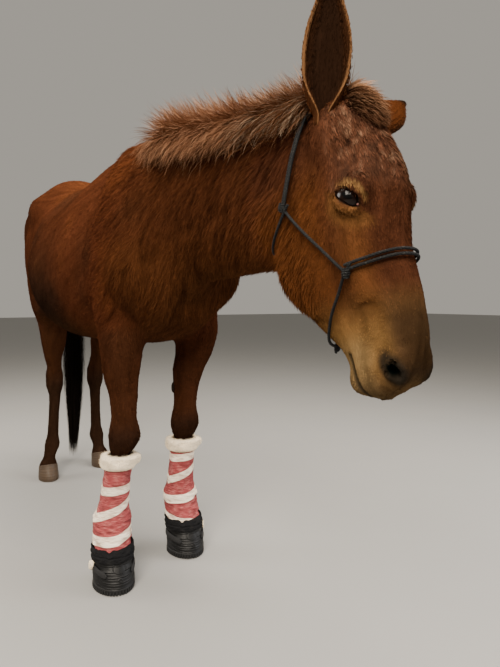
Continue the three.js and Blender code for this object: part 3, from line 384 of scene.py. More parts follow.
# Furrows and folds in the skin, on both sides: [depth, width, then heights along the body as (back, up)]
FURROWS = [
    [6, 24, (-615, 1390), (-660, 1260), (-742, 1130), (-765, 1040)],
    [5, 34, (-440, 1330), (-400, 1180), (-440, 1010), (-470, 900)],
    [5, 15, (-545, 905), (-480, 868), (-420, 880)],
    [5, 17, (-1290, 1150), (-1100, 1110), (-920, 1080), (-800, 1010)],
    [6, 20, (770, 1230), (752, 1080), (716, 940), (690, 840)],
    [5, 26, (395, 1180), (420, 1060), (470, 930), (520, 830)],
    [4, 20, (560, 1080), (620, 940), (640, 800)],
    [4, 12, (-640, 940), (-600, 880), (-560, 850)],
]


def furrow_lines():
    middle = curves(TRUNK)
    lines = []
    for depth, width, *stops in FURROWS:
        for side in (-1, 1):
            line = []
            for y, z in stops:
                x = middle(max(y, -790))[3] if y > -780 else 20 + 90 * (-560 - y) / 840
                line.append(surface([x + side * 12, y, z], [side, 0, 0]))
            lines.append((depth, width, np.array(line)))
    return lines


def furrowed(p, d):
    """Presses the furrows into the distances of points near the skin."""
    for depth, width, line in furrows:
        low, high = line.min(axis=0) - 3 * width, line.max(axis=0) + 3 * width
        near = ((p > low) & (p < high)).all(axis=1)
        if near.any():
            d[near] += depth * np.exp(-((to_line(p[near], line) / width) ** 2))
    y, z = p[:, 1], p[:, 2]
    ribs = ease(-330, -230, y) * ease(250, 120, y) * ease(860, 960, z) * ease(1260, 1150, z)
    return d + 1.6 * ribs * np.cos(y / 9.5 + z / 30)


def slope(field, p, e=0.5):
    steps = np.eye(3) * e
    return np.stack([(field(p + s) - field(p - s)) / (2 * e) for s in steps], axis=1)


def onto(field, p, rounds=3):
    """Moves points onto a field's surface, along its slope."""
    for _ in range(rounds):
        way = slope(field, p)
        steep = np.maximum((way * way).sum(axis=1), 0.2)
        p = p + way * np.clip(-field(p) / steep, -8, 8)[:, None]
    return p


def cast(field, starts, ways, step=6.0):
    """Where rays from inside a field first meet its surface."""
    starts = np.array(starts, float).reshape(-1, 3)
    ways = unit(np.broadcast_to(ways, starts.shape))
    near = np.zeros(len(starts))
    far = near + step
    for _ in range(100):
        inside = field(starts + ways * far[:, None]) < 0
        if not inside.any():
            break
        near[inside] = far[inside]
        far[inside] += step
    for _ in range(12):
        middle = (near + far) / 2
        inside = field(starts + ways * middle[:, None]) < 0
        near = np.where(inside, middle, near)
        far = np.where(inside, far, middle)
    return starts + ways * near[:, None]


def surface(start, way, lift=0.0, field=body):
    """A point on the field's surface, seen from a point inside, and lifted off it."""
    return cast(field, [start], [way])[0] + unit(way) * lift


SIDES = {"right": -1, "left": 1}
eye_centres = {name: in_head(side * EYE["across"], -EYE["behind"], EYE["down"]) for name, side in SIDES.items()}
SHIFT = np.array(sum(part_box("eye_right"), Vector())) * 500 - eye_centres["right"]


def placed(p):
    """Points of the layout, in the frame and in metres."""
    return (np.asarray(p, float) + SHIFT) / 1000


# The skin's finer forms on the head
def eye_frame(name, side):
    """An eye's centre, and its ways out, along the slit and up."""
    out = head_way(side * 0.86, 0.5, 0.05)
    slit = np.array(head_way(-side * 0.28, 0.7, 0.72))
    slit = unit(slit - out * (slit @ out))
    return eye_centres[name], out, slit, np.cross(slit, out) * side


def nostril_axes(side):
    centre = surface(in_head(side * 14, -80, 496), head_way(side * 0.62, 0.64, 0.42), 0, head)
    out = head_way(side * 0.72, 0.52, 0.44)
    along = np.array(head_way(-side * 0.5, 0.3, 0.8))
    along = unit(along - out * (along @ out))
    return centre, along, np.cross(out, along), out


eyes = {name: eye_frame(name, side) for name, side in SIDES.items()}
nostrils = [nostril_axes(side) for side in (1, -1)]
MOUTH = [[472, -141], [485, -140], [498, -139], [509, -138], [520, -137], [540, -133], [556, -126]]
mouth_line = [surface(in_head(0, v, s), head_way(1, 0, 0.15), 0, head) for s, v in MOUTH]
mouth_line.append(surface(in_head(0, -110, 520), head_way(0, -0.06, 1), 0, head))
mouth_line += [surface(in_head(0, v, s), head_way(-1, 0, 0.15), 0, head) for s, v in MOUTH[::-1]]
mouth_line = np.array(mouth_line)


def to_line(p, line):
    """The distance from points to a line of points."""
    best = np.full(len(p), 1e9)
    for a, b in zip(line[:-1], line[1:]):
        t = np.clip((p - a) @ (b - a) / ((b - a) @ (b - a)), 0, 1)
        best = np.minimum(best, np.linalg.norm(p - a - t[:, None] * (b - a), axis=1))
    return best


def head_details(p, d):
    """Cuts the nostrils, the mouth and the eyes' sockets into the distances of the head's points."""
    for centre, along, across, out in nostrils:
        q = p - centre
        a, b, c = q @ along, q @ across, q @ out
        around = np.hypot(a / 1.25, b / 0.82)
        rim = np.hypot(around - 15.5, c + 1.5) - 5.2
        d = blend(d, rim, 9)
        hole = (np.sqrt((a / 15.5) ** 2 + (b / 8.5) ** 2 + (c / 20) ** 2) - 1) * 9
        d = hollow(d, hole, 5)
    d = hollow(d, to_line(p, mouth_line) - 3.0, 6)
    for centre, out, slit, above in eyes.values():
        q = p - centre - out * 31
        opening = np.sqrt((q @ slit / 27) ** 2 + (q @ above / 13) ** 2 + (q @ out / 18) ** 2) - 1
        d = hollow(d, opening * 13, 5)
        d = hollow(d, np.linalg.norm(p - centre, axis=1) - EYE["radius"] + 0.5, 3)
    return d


def coat_depth(p):
    """How deep the coat lies over the skin: long on the neck and jaw, short on the face and legs."""
    u, _, s = to_head(p).T
    on_neck = ease(-560, -760, p[:, 1])
    on_head = ease(30, -20, np.abs(u) - 110) * ease(-60, 20, s) * on_neck
    face = on_head * ease(120, 420, s)
    depth = 3.2 + 3.2 * on_neck - 1.2 * on_head - 3.8 * face
    return depth - 0.8 * ease(800, 600, p[:, 2]) * (1 - on_neck)


furrows = furrow_lines()


def skin_field(p):
    d = furrowed(p, body(p) + coat_depth(p))
    low, high = HEAD_BOX
    near = ((p > low) & (p < high)).all(axis=1)
    if near.any():
        d[near] = head_details(p[near], d[near])
    return d


# Colours, given as they look and kept as light
def colour(text):
    """A colour written as six hex digits, as linear light."""
    c = np.array([int(text[i : i + 2], 16) / 255 for i in (0, 2, 4)])
    return np.where(c > 0.04045, ((c + 0.055) / 1.055) ** 2.4, c / 12.92)


def tint(rgb, other, amount):
    return rgb + (colour(other) - rgb) * np.asarray(amount)[:, None]


def layered(base, *marks):
    """A colour with others laid over it in turn, each by an amount at each point."""
    rgb = np.broadcast_to(colour(base), (len(marks[0][1]), 3))
    for tone, amount in marks:
        rgb = tint(rgb, tone, amount)
    return rgb


def mixed(a, b, share):
    return colour(a) * (1 - share) + colour(b) * share


# How much light the coat keeps of its colours as they look
SHADE = 0.34
# A little grey-blue light added to all the coat's colours, which dulls them
COAT_GREYING = np.array([0.0, 0.005, 0.0045])


def coat_colours(p, normals):
    """The coat's markings at points of the layout, with painted shade and painted light laid in among them."""
    u, v, s = to_head(p).T
    y, z = p[:, 1], p[:, 2]
    on_head = ease(-24, 24, s) * ease(150, 120, np.abs(u)) * ease(-1180, -1260, y)
    on_neck = ease(-600, -800, y) * (1 - on_head)
    patches = noise(p, 130, 3)
    fore = ease(-300, -380, y) * (1 - on_neck)
    hind = ease(350, 420, y)
    inner = ease(900, 700, z) * ease(480, 620, z) * ease(0.2, -0.7, normals[:, 1])
    blond = ease(14, 34, u) * ease(78, 56, u) * ease(60, 92, s) * ease(190, 150, s) * ease(-60, -30, v)
    brow = ease(210, 150, s) * ease(-100, -40, v)
    waves = noise(p, 9, 14) + 0.6 * noise(p, 24, 15)
    marks = [
        ("8a4a22", 0.4 * ease(0.1, 0.9, patches)),
        ("3c1c0c", 0.45 * ease(0.1, 0.9, -patches)),
        # Painted shade: the barrel darkens down its sides, below the light from above
        ("2f1408", 0.85 * ease(1270, 860, z) * ease(-300, 0, y) * ease(600, 300, y)),
        # Painted light: the topline is lighter where the skin faces up
        ("81451f", 0.3 * ease(0.5, 0.95, normals[:, 2]) * ease(1200, 1300, z)),
        ("63300f", 0.8 * on_neck),
        ("70400f", 0.25 * on_neck * ease(1150, 980, z)),
        # Legs: darker down the limb, darkest at the knees and hocks
        ("5a2a0e", 0.75 * ease(900, 640, z) * (fore + hind)),
        ("421c0a", 0.85 * ease(540, 460, z) * fore),
        ("42200d", 0.85 * ease(620, 440, z) * hind),
        ("6b3a1c", 0.6 * inner * hind),
    ]
    # Head: maroon forehead, warm cheeks and a pale muzzle, with painted shade under the forelock and down the
    # front of the nose
    face = [
        ("6b3820", 0.9),
        ("b07a48", 0.75 * blond * ease(-0.5, 0.5, noise(p, 14, 9))),
        ("8a5a44", 0.45 * brow),
        ("b58c70", 0.5 * brow * ease(0.1, 0.9, waves)),
        ("2a140d", 0.5 * brow * ease(-0.1, -0.8, waves)),
        # Painted shade under the forelock
        ("3c1c10", 0.6 * ease(70, 20, s) * ease(-60, -20, v)),
        ("7c4319", 0.9 * ease(-70, -140, v) * ease(60, 170, s)),
        ("92582a", 0.7 * ease(-120, -60, v) * ease(-20, -60, v) * ease(200, 290, s)),
        ("b98a50", 0.9 * ease(350, 470, s)),
        # Painted shade down the front of the nose
        ("4f2f1a", 0.9 * ease(-64, -20, v) * ease(360, 440, s)),
        ("c9a470", 0.7 * ease(-70, -110, v) * ease(430, 490, s)),
        ("33231b", 0.85 * ease(9, 3, to_line(p, mouth_line))),
        ("5b4639", 0.6 * ease(500, 565, s)),
    ]
    marks += [(tone, on_head * amount) for tone, amount in face]
    for centre, along, across, out in nostrils:
        r = p - centre
        ring, deep = np.hypot(r @ along / 1.25, r @ across / 0.82), np.abs(r @ out)
        marks.append(("3a2a24", 0.9 * on_head * ease(34, 16, ring) * ease(60, 30, deep)))
        # Painted shade: near black in the nostril's hollow
        marks.append(("120b0a", on_head * ease(13, 8, ring) * ease(40, 30, deep)))
    for centre, out, slit, above in eyes.values():
        r = p - centre
        a, b, c = r @ slit, r @ above, r @ out
        ring, slim = np.hypot(a / 1.3, b), np.hypot(a / 1.75, b)
        arc = ease(20, 25, ring) * ease(34, 28, ring) * ease(4, 18, b) * ease(-46, -24, a) * ease(40, 20, a)
        # Paler tan below the eye: partly the coat's own colour, partly painted light on skin that turns down into
        # shade
        under = ease(-16, 2, c) * ease(13, 19, ring) * ease(58, 36, ring) * ease(2, -12, b)
        seen = ease(-6, 6, c)
        marks += [("d8a868", 0.55 * seen * arc), ("a06c38", 0.6 * under)]
        marks.append(("1a0e09", 0.95 * seen * ease(16, 12, slim)))
    # Undersides and the inner flanks are softer and paler
    marks.append(("7a4a28", 0.4 * ease(-0.4, -0.95, normals[:, 2]) * (1 - on_head) * ease(700, 780, z)))
    return layered("6e3416", *marks) * SHADE + COAT_GREYING


def lie_of(p, normals, disorder=0.28):
    """The way the coat lies, along the skin."""
    u, v, s = to_head(p).T
    on_head = ease(-24, 24, s) * ease(-1180, -1260, p[:, 1])
    on_neck = ease(-560, -780, p[:, 1]) * (1 - on_head)
    on_leg = ease(840, 680, p[:, 2]) * (1 - on_head)
    way = np.array([0, 0.86, -0.42]) + np.zeros_like(p)
    way += on_neck[:, None] * (np.array([0, 0.55, -0.84]) - way)
    way += on_leg[:, None] * (np.array([0, 0.18, -1]) - way)
    cheek = ease(-60, -160, v) * ease(420, 260, s)
    parting = 0.35 * np.sign(u) * ease(60, 0, np.abs(u))
    face = HEAD[2] - np.outer(0.9 * cheek, HEAD[1]) + np.outer(parting, HEAD[0])
    way += on_head[:, None] * (face - way)
    way += disorder * np.stack([noise(p, 60, n) for n in (11, 12, 13)], axis=1)
    way -= normals * (way * normals).sum(axis=1)[:, None]
    return unit(way)


# Meshes
def build(name, points, faces, material, colours=None, extra=None):
    """A new mesh object from points of the layout and faces with one count of corners."""
    faces = np.asarray(faces, np.int32)
    mesh = bpy.data.meshes.new(name)
    mesh.vertices.add(len(points))
    mesh.vertices.foreach_set("co", placed(points).astype(np.float32).ravel())
    mesh.loops.add(faces.size)
    mesh.loops.foreach_set("vertex_index", faces.ravel())
    mesh.polygons.add(len(faces))
    mesh.polygons.foreach_set("loop_start", np.arange(0, faces.size, faces.shape[1], dtype=np.int32))
    mesh.update(calc_edges=True)
    if colours is not None:
        layer = mesh.color_attributes.new("Coat", "FLOAT_COLOR", "POINT")
        layer.data.foreach_set("color", np.insert(colours, 3, 1, axis=1).astype(np.float32).ravel())
    for key, values in (extra or {}).items():
        layer = mesh.attributes.new(key, "FLOAT_VECTOR", "POINT")
        layer.data.foreach_set("vector", values.astype(np.float32).ravel())
    mesh.shade_smooth()
    piece = bpy.data.objects.new(name, mesh)
    bpy.context.scene.collection.objects.link(piece)
    mesh.materials.append(material)
    return piece


def points_of(piece):
    mesh = piece.data
    p = np.empty(len(mesh.vertices) * 3, np.float32)
    n = np.empty_like(p)
    mesh.vertices.foreach_get("co", p)
    mesh.vertex_normals.foreach_get("vector", n)
    return p.reshape(-1, 3).astype(float) * 1000 - SHIFT, n.reshape(-1, 3).astype(float)


def triangles_of(piece):
    mesh = piece.data
    mesh.calc_loop_triangles()
    t = np.empty(len(mesh.loop_triangles) * 3, np.int32)
    mesh.loop_triangles.foreach_get("vertices", t)
    return t.reshape(-1, 3)


def tube_faces(rings, sides):
    """Triangles over stacked rings of points."""
    i, k = np.meshgrid(np.arange(rings - 1), np.arange(sides), indexing="ij")
    i, k = i.ravel() * sides, k.ravel()
    a, b = i + k, i + (k + 1) % sides
    halves = (a, b, b + sides), (a, b + sides, a + sides)
    return np.concatenate([np.stack(half, axis=1) for half in halves])


def sphere(make, **fineness):
    """The points and triangles of a ball."""
    bm = bmesh.new()
    make(bm, radius=1, **fineness)
    points = np.array([v.co for v in bm.verts])
    bmesh.ops.triangulate(bm, faces=bm.faces[:])
    faces = np.array([[v.index for v in f.verts] for f in bm.faces])
    bm.free()
    return points, faces


def in_frame(centre, local, *axes):
    """Points given along three axes from a centre."""
    return sum((local[:, i : i + 1] * axis for i, axis in enumerate(axes)), centre)


def recalculate(piece):
    """Welds a piece's doubled points and turns its faces outward."""
    bm = bmesh.new()
    bm.from_mesh(piece.data)
    bmesh.ops.remove_doubles(bm, verts=bm.verts[:], dist=1e-6)
    bmesh.ops.recalc_face_normals(bm, faces=bm.faces[:])
    bm.to_mesh(piece.data)
    bm.free()


def solid_tube(name, rings, material, **more):
    """A closed piece from stacked rings of points."""
    rings = np.asarray(rings, float)
    count, sides = rings.shape[:2]
    middle = count * sides
    points = np.concatenate([rings.reshape(-1, 3), [rings[0].mean(axis=0), rings[-1].mean(axis=0)]])
    k = np.arange(sides)
    after = (k + 1) % sides
    low = np.stack([0 * k + middle, after, k], axis=1)
    high = np.stack([0 * k + middle + 1, middle - sides + k, middle - sides + after], axis=1)
    return build(name, points, np.concatenate([tube_faces(count, sides), low, high]), material, **more)


def sample(piece, count, weigh, rng):
    """Random places on a piece, denser where weigh is larger: points and normals."""
    p, n = points_of(piece)
    faces = triangles_of(piece)
    a, b, c = (p[faces[:, i]] for i in range(3))
    area = np.linalg.norm(np.cross(b - a, c - a), axis=1) / 2
    weight = area * (weigh((a + b + c) / 3, unit(n[faces].mean(axis=1))) + 1e-9)
    at = np.searchsorted(np.cumsum(weight) / weight.sum(), rng.random(count))
    r1, r2 = rng.random((2, count, 1))
    fold = r1 + r2 > 1
    r1, r2 = np.where(fold, 1 - r1, r1), np.where(fold, 1 - r2, r2)
    corners = faces[np.clip(at, 0, len(faces) - 1)]
    p, n = (v[corners[:, 0]] * (1 - r1 - r2) + v[corners[:, 1]] * r1 + v[corners[:, 2]] * r2 for v in (p, n))
    return p, unit(n)


def bake_places(p, n):
    """Each point's place on an unwrap of the skin: four charts, by side and by which way it faces."""
    left = p[:, 0] > 20
    outward = (n[:, 0] > 0) == left
    across = 0.01 + (p[:, 1] + 1680) / 2680 * 0.47
    up = 0.01 + p[:, 2] / 2680 * 0.47
    return np.stack([across + 0.5 * left, up + 0.5 * outward], axis=1)


def ribbons(name, material, rows, shades, spot):
    """Flat ribbons from rows of edge points, two by two, that end in a point where their number is odd."""
    each = len(rows)
    points, shades = (np.stack(values, axis=1).reshape(-1, 3) for values in (rows, shades))
    pattern = []
    for a in range(0, 2 * (each // 2) - 2, 2):
        pattern += [[a, a + 1, a + 3], [a, a + 3, a + 2]]
    pattern += [[each - 3, each - 2, each - 1]] * (each % 2)
    faces = (np.arange(len(rows[0]))[:, None, None] * each + np.array(pattern)).reshape(-1, 3)
    piece = build(name, points, faces, material, shades)
    wide, high = 0.0012, 0.0015
    rise = 2 * high / ((each - 1) // 2)
    local = [[side * wide, rise * i - high] for i in range(each // 2) for side in (-1, 1)]
    local += [[0, high]] * (each % 2)
    uv = (spot[:, None] + np.array(local)).reshape(-1, 2)
    layer = piece.data.uv_layers.new(name="OFBake")
    layer.data.foreach_set("uv", uv[faces.ravel()].astype(np.float32).ravel())
    return piece


def tufts(name, material, roots, normals, way, bend, length, width, colours, tips, rng, steps=2, fill=1.0):
    """Flat tapered locks of hair, each from its root, curving from one way to another."""
    count = len(roots)
    centre = np.array(roots, float)
    length, width = np.broadcast_to(length, count), np.broadcast_to(width, count)
    sides = unit(np.cross(way, normals))
    turn = (rng.random(count) - 0.5) * 1.2
    sides = unit(sides * np.cos(turn)[:, None] + normals * np.sin(turn)[:, None])
    rows, shades = [], []
    for i, t in enumerate(np.linspace(0, 1, steps + 1)):
        here = unit(way * (1 - t) + bend * t)
        if i:
            centre = centre + here * (length / steps)[:, None]
        side = unit(sides - here * (sides * here).sum(axis=1)[:, None])
        reach = side * (width * 0.5 * (0.8 + 0.7 * t - 1.5 * t * t))[:, None]
        edge = [centre - reach, centre + reach] if i < steps else [centre]
        rows += edge
        shades += [colours + (tips - colours) * t**fill] * len(edge)
    return ribbons(name, material, rows, shades, bake_places(roots, normals))


# Node trees, of materials and of what repeats or follows a path
class Wire:
    """A socket's value in a node tree, with arithmetic that adds its nodes."""

    def __init__(self, nodes, socket):
        self.nodes = nodes
        self.socket = socket

    def maths(self, operation, *values):
        return self.nodes.node("ShaderNodeMath", {"operation": operation}, *values)

    def __add__(self, other):
        return self.maths("ADD", self, other)

    def __sub__(self, other):
        return self.maths("SUBTRACT", self, other)

    def __mul__(self, other):
        return self.maths("MULTIPLY", self, other)

    __radd__ = __add__
    __rmul__ = __mul__


class Nodes:
    """A node tree, and the one way to add to it."""

    def __init__(self, tree):
        self.tree = tree

    def node(self, kind, settings, *values, out=0, **named):
        made = self.tree.nodes.new(kind)
        for key, value in settings.items():
            setattr(made, key, value)
        sockets = [(made.inputs[i], v) for i, v in enumerate(values)]
        sockets += [(made.inputs[k.replace("_", " ")], v) for k, v in named.items()]
        for socket, value in sockets:
            if isinstance(value, Wire):
                self.tree.links.new(value.socket, socket)
            elif value is not None:
                socket.default_value = value
        return Wire(self, made.outputs[out])


class Shader(Nodes):
    """One material, and short ways to add its nodes."""

    def __init__(self, name, **constants):
        self.material = bpy.data.materials.new(name)
        self.material.use_nodes = True
        super().__init__(self.material.node_tree)
        self.surface = self.tree.nodes["Principled BSDF"]
        for socket, value in constants.items():
            self.surface.inputs[socket.replace("_", " ")].default_value = value
        self.material.diffuse_color = (*self.surface.inputs["Base Color"].default_value[:3], 1)

    def attribute(self, name, out="Color"):
        return self.node("ShaderNodeAttribute", {"attribute_name": name}, out=out)

    def noise(self, scale, detail=2.0, roughness=0.5, over=None):
        """Noise over the object's own place, or over a vector."""
        vector = over or self.node("ShaderNodeTexCoord", {}, out="Object")
        if isinstance(scale, tuple):
            vector, scale = self.node("ShaderNodeMapping", {}, Vector=vector, Scale=scale), 1.0
        return self.node("ShaderNodeTexNoise", {}, Vector=vector, Scale=scale, Detail=detail, Roughness=roughness)

    def mix(self, a, b, amount, how="MIX"):
        """A colour between two, which are wires, light as three numbers, or six hex digits."""
        a, b = (colour(v) if isinstance(v, str) else v for v in (a, b))
        a, b = (v if isinstance(v, Wire) else (*v, 1) for v in (a, b))
        settings = {"data_type": "RGBA", "blend_type": how}
        return self.node("ShaderNodeMix", settings, amount, *[None] * 5, a, b, out=2)

    def scaled(self, base, *factors):
        """A colour times a factor for each of its parts, or for all."""
        return self.mix(base, factors if len(factors) > 1 else factors * 3, 1.0, "MULTIPLY")

    def range(self, value, low, high, to_low=0.0, to_high=1.0):
        return self.node("ShaderNodeMapRange", {}, value, low, high, to_low, to_high)

    def feed(self, bump=None, **sockets):
        """Links the surface's sockets. The bump is a height, its distance and its strength."""
        if bump:
            sizes = dict(zip(("Height", "Distance", "Strength"), bump))
            sockets["Normal"] = self.node("ShaderNodeBump", {}, **sizes)
        for name, wire in sockets.items():
            self.tree.links.new(wire.socket, self.surface.inputs[name.replace("_", " ")])
        return self.material


class Growth(Nodes):
    """A geometry node tree with named inputs, and the piece that it grows from a source object."""

    def __init__(self, name, **inputs):
        super().__init__(bpy.data.node_groups.new(name, "GeometryNodeTree"))
        sockets = self.tree.interface
        for way in ("INPUT", "OUTPUT"):
            sockets.new_socket("Geometry", in_out=way, socket_type="NodeSocketGeometry")
        self.values = {}
        for label, value in inputs.items():
            kind = "NodeSocketInt" if isinstance(value, int) else "NodeSocketFloat"
            self.values[sockets.new_socket(label, in_out="INPUT", socket_type=kind).identifier] = value
        self.start = self.tree.nodes.new("NodeGroupInput")

    def given(self, label):
        return Wire(self, self.start.outputs[label])

    def piece(self, name, line, closed, geometry, material):
        real = self.node("GeometryNodeRealizeInstances", {}, geometry)
        cover = self.node("GeometryNodeSetMaterial", {}, real, Material=material)
        self.tree.links.new(cover.socket, self.tree.nodes.new("NodeGroupOutput").inputs[0])
        source = polyline(name + "_path", line, closed)
        modifier = source.modifiers.new("tree", "NODES")
        modifier.node_group = self.tree
        for identifier, value in self.values.items():
            modifier[identifier] = value
        graph = bpy.context.evaluated_depsgraph_get()
        grown = source.evaluated_get(graph)
        mesh = bpy.data.meshes.new_from_object(grown, preserve_all_data_layers=True, depsgraph=graph)
        source.modifiers.remove(modifier)
        bpy.data.objects.remove(source)
        mesh.name = name
        piece = bpy.data.objects.new(name, mesh)
        bpy.context.scene.collection.objects.link(piece)
        return piece


def polyline(name, points, closed):
    curve = bpy.data.curves.new(name, "CURVE")
    curve.dimensions = "3D"
    spline = curve.splines.new("POLY")
    spline.points.add(len(points) - 1)
    spline.points.foreach_set("co", np.insert(points, 3, 1, axis=1).astype(np.float32).ravel())
    spline.use_cyclic_u = closed
    piece = bpy.data.objects.new(name, curve)
    bpy.context.scene.collection.objects.link(piece)
    return piece


def lug_row(name, edge, material, **sizes):
    """Blocks set along a closed line, standing upright."""
    g = Growth(name, **sizes)
    points = g.node("GeometryNodeCurveToPoints", {}, Curve=g.given("Geometry"), Count=g.given("Count"))
    tangent = Wire(g, points.socket.node.outputs["Tangent"])
    size = g.node("ShaderNodeCombineXYZ", {}, g.given("Width"), g.given("Depth"), g.given("Height"))
    block = g.node("GeometryNodeMeshCube", {}, Size=size)
    turn = g.node("FunctionNodeAlignEulerToVector", {"axis": "X", "pivot_axis": "Z"}, Vector=tangent)
    blocks = g.node("GeometryNodeInstanceOnPoints", {}, Points=points, Instance=block, Rotation=turn)
    return g.piece(name, edge, True, blocks, material)


def rope(name, path, radius, material):
    """A laid rope along a path: a four-lobed section that turns as it goes."""
    g = Growth(name, Radius=radius, Twist=260.0)
    turn = g.node("GeometryNodeInputIndex", {}) * (math.pi / 2)
    wave = g.node("ShaderNodeMath", {"operation": "COSINE"}, turn)
    lobes = g.node("ShaderNodeMath", {"operation": "MULTIPLY_ADD"}, wave, 0.14, 0.88) * g.given("Radius")
    place = g.node("GeometryNodeInputPosition", {})
    spread = g.node("ShaderNodeVectorMath", {"operation": "SCALE"}, place, Scale=lobes)
    section = g.node("GeometryNodeCurvePrimitiveCircle", {}, Resolution=16)
    section = g.node("GeometryNodeSetPosition", {}, Geometry=section, Position=spread)
    line = g.node("GeometryNodeResampleCurve", {"mode": "LENGTH"}, Curve=g.given("Geometry"), Length=0.0016)
    tilt = g.node("GeometryNodeSplineParameter", {}, out="Length") * g.given("Twist")
    line = g.node("GeometryNodeSetCurveTilt", {}, Curve=line, Tilt=tilt)
    skin = g.node("GeometryNodeCurveToMesh", {}, Curve=line, Profile_Curve=section, Fill_Caps=True)
    return g.piece(name, placed(path), False, g.node("GeometryNodeSetShadeSmooth", {}, skin), material)


def skin_material():
    """Short coat over the skin: strands along its lie, in colour, gloss and relief, with lighter streaks along the
    lie that are a painted sheen.
    """
    s = Shader("skin", Roughness=0.5, Specular_IOR_Level=0.0)
    strands = s.attribute("strand", out="Vector")
    fine, sheen_streaks = s.noise(420.0, 3.0, 0.6, strands), s.noise(110.0, over=strands)
    patches = s.noise(9.0, 3.0)
    base = s.attribute("Coat")
    shade = s.mix(base, s.scaled(base, 0.30, 0.26, 0.24), s.range(fine, 0.5, 0.2, 0, 0.55))
    # Painted sheen: lighter streaks along the lie
    shade = s.mix(shade, s.scaled(base, 1.55, 1.5, 1.45), s.range(sheen_streaks, 0.5, 0.8, 0, 0.6))
    rough = s.range(patches, 0.3, 0.7, 0.36, 0.5)
    return s.feed((fine * 0.6 + sheen_streaks * 0.8, 0.0034, 0.7), Base_Color=shade, Roughness=rough)


def hair_material(name, roughness=0.5):
    """Hair whose colour is painted from root to tip, varied from lock to lock."""
    s = Shader(name, Roughness=roughness, Specular_IOR_Level=0.0)
    base = s.attribute("Coat")
    grain = s.noise(260.0)
    shade = s.mix(s.scaled(base, 0.62, 0.6, 0.6), s.scaled(base, 1.3), grain)
    return s.feed(Base_Color=shade, Roughness=s.range(grain, 0.3, 0.7, roughness - 0.08, roughness + 0.08))


def painted(name, text, roughness=0.5, grain=400.0, depth=0.0004, vary=0.25, **more):
    """A plain finish with fine grain in its colour, gloss and relief."""
    base = colour(text)
    s = Shader(name, Base_Color=(*base, 1), Roughness=roughness, **more)
    speck, cloud = s.noise(grain, 4.0, 0.6), s.noise(grain / 14, 3.0)
    shade = s.mix(base * (1 - vary), np.minimum(base * (1 + vary), 1), speck * 0.5 + cloud * 0.5)
    rough = s.range(cloud, 0.3, 0.7, roughness - 0.08, roughness + 0.08)
    return s.feed((speck, depth, 0.7), Base_Color=shade, Roughness=rough)


# Sizes and colours that a user would change
def count_of(name, description, default):
    return bpy.props.IntProperty(name=name, description=description, default=default, min=0)


def size_of(name, description, default, least, most, unit="LENGTH"):
    return bpy.props.FloatProperty(
        name=name, description=description, default=default, min=least, max=most, unit=unit
    )


def colour_of(name, description, default):
    return bpy.props.FloatVectorProperty(
        name=name, description=description, subtype="COLOR", default=tuple(default)
    )


class MuleCoat(bpy.types.PropertyGroup):
    skin_step: size_of("Skin step", "Size of the skin's faces on the body, in millimetres", 10.2, 6, 20, "NONE")
    body_tufts: count_of("Body tufts", "Short tufts on the trunk", 53000)
    neck_tufts: count_of("Neck tufts", "Tufts in each of the neck's two layers", 50000)
    head_tufts: count_of("Head tufts", "Tufts in each of the head's two layers", 51000)
    leg_tufts: count_of("Leg tufts", "Tufts on the legs", 44000)
    mane_locks: count_of("Mane locks", "Locks of the mane", 25500)
    forelock_locks: count_of("Forelock locks", "Locks of the forelock", 5200)
    tail_strands: count_of("Tail strands", "Strands of the tail", 3400)
    mane_length: size_of("Mane length", "Length of the mane's locks", 0.095, 0.02, 0.3)


class MuleTack(bpy.types.PropertyGroup):
    rope_radius: size_of("Rope radius", "Radius of the halter's rope", 0.0032, 0.001, 0.01)
    wrap_colour: colour_of("Wrap", "Colour of the elastic bandage", colour("954345"))
    padding_colour: colour_of("Padding", "Colour of the cotton padding", colour("ffedcf"))


class MuleStage(bpy.types.PropertyGroup):
    key_power: size_of("Key light", "Power of the main light", 360.0, 0, 10000, "POWER")
    floor_colour: colour_of("Floor", "Colour of the floor", (0.3, 0.295, 0.285))


class MuleOperator:
    """What the operators share."""

    bl_options = {"REGISTER", "UNDO"}

    @staticmethod
    def finish(piece, slot, *nodes):
        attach(piece, "root")
        if nodes:
            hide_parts(*nodes)


FLESH = ["torso", "neck", "head", "leg_fore_right", "leg_fore_left", "leg_hind_right", "leg_hind_left"]


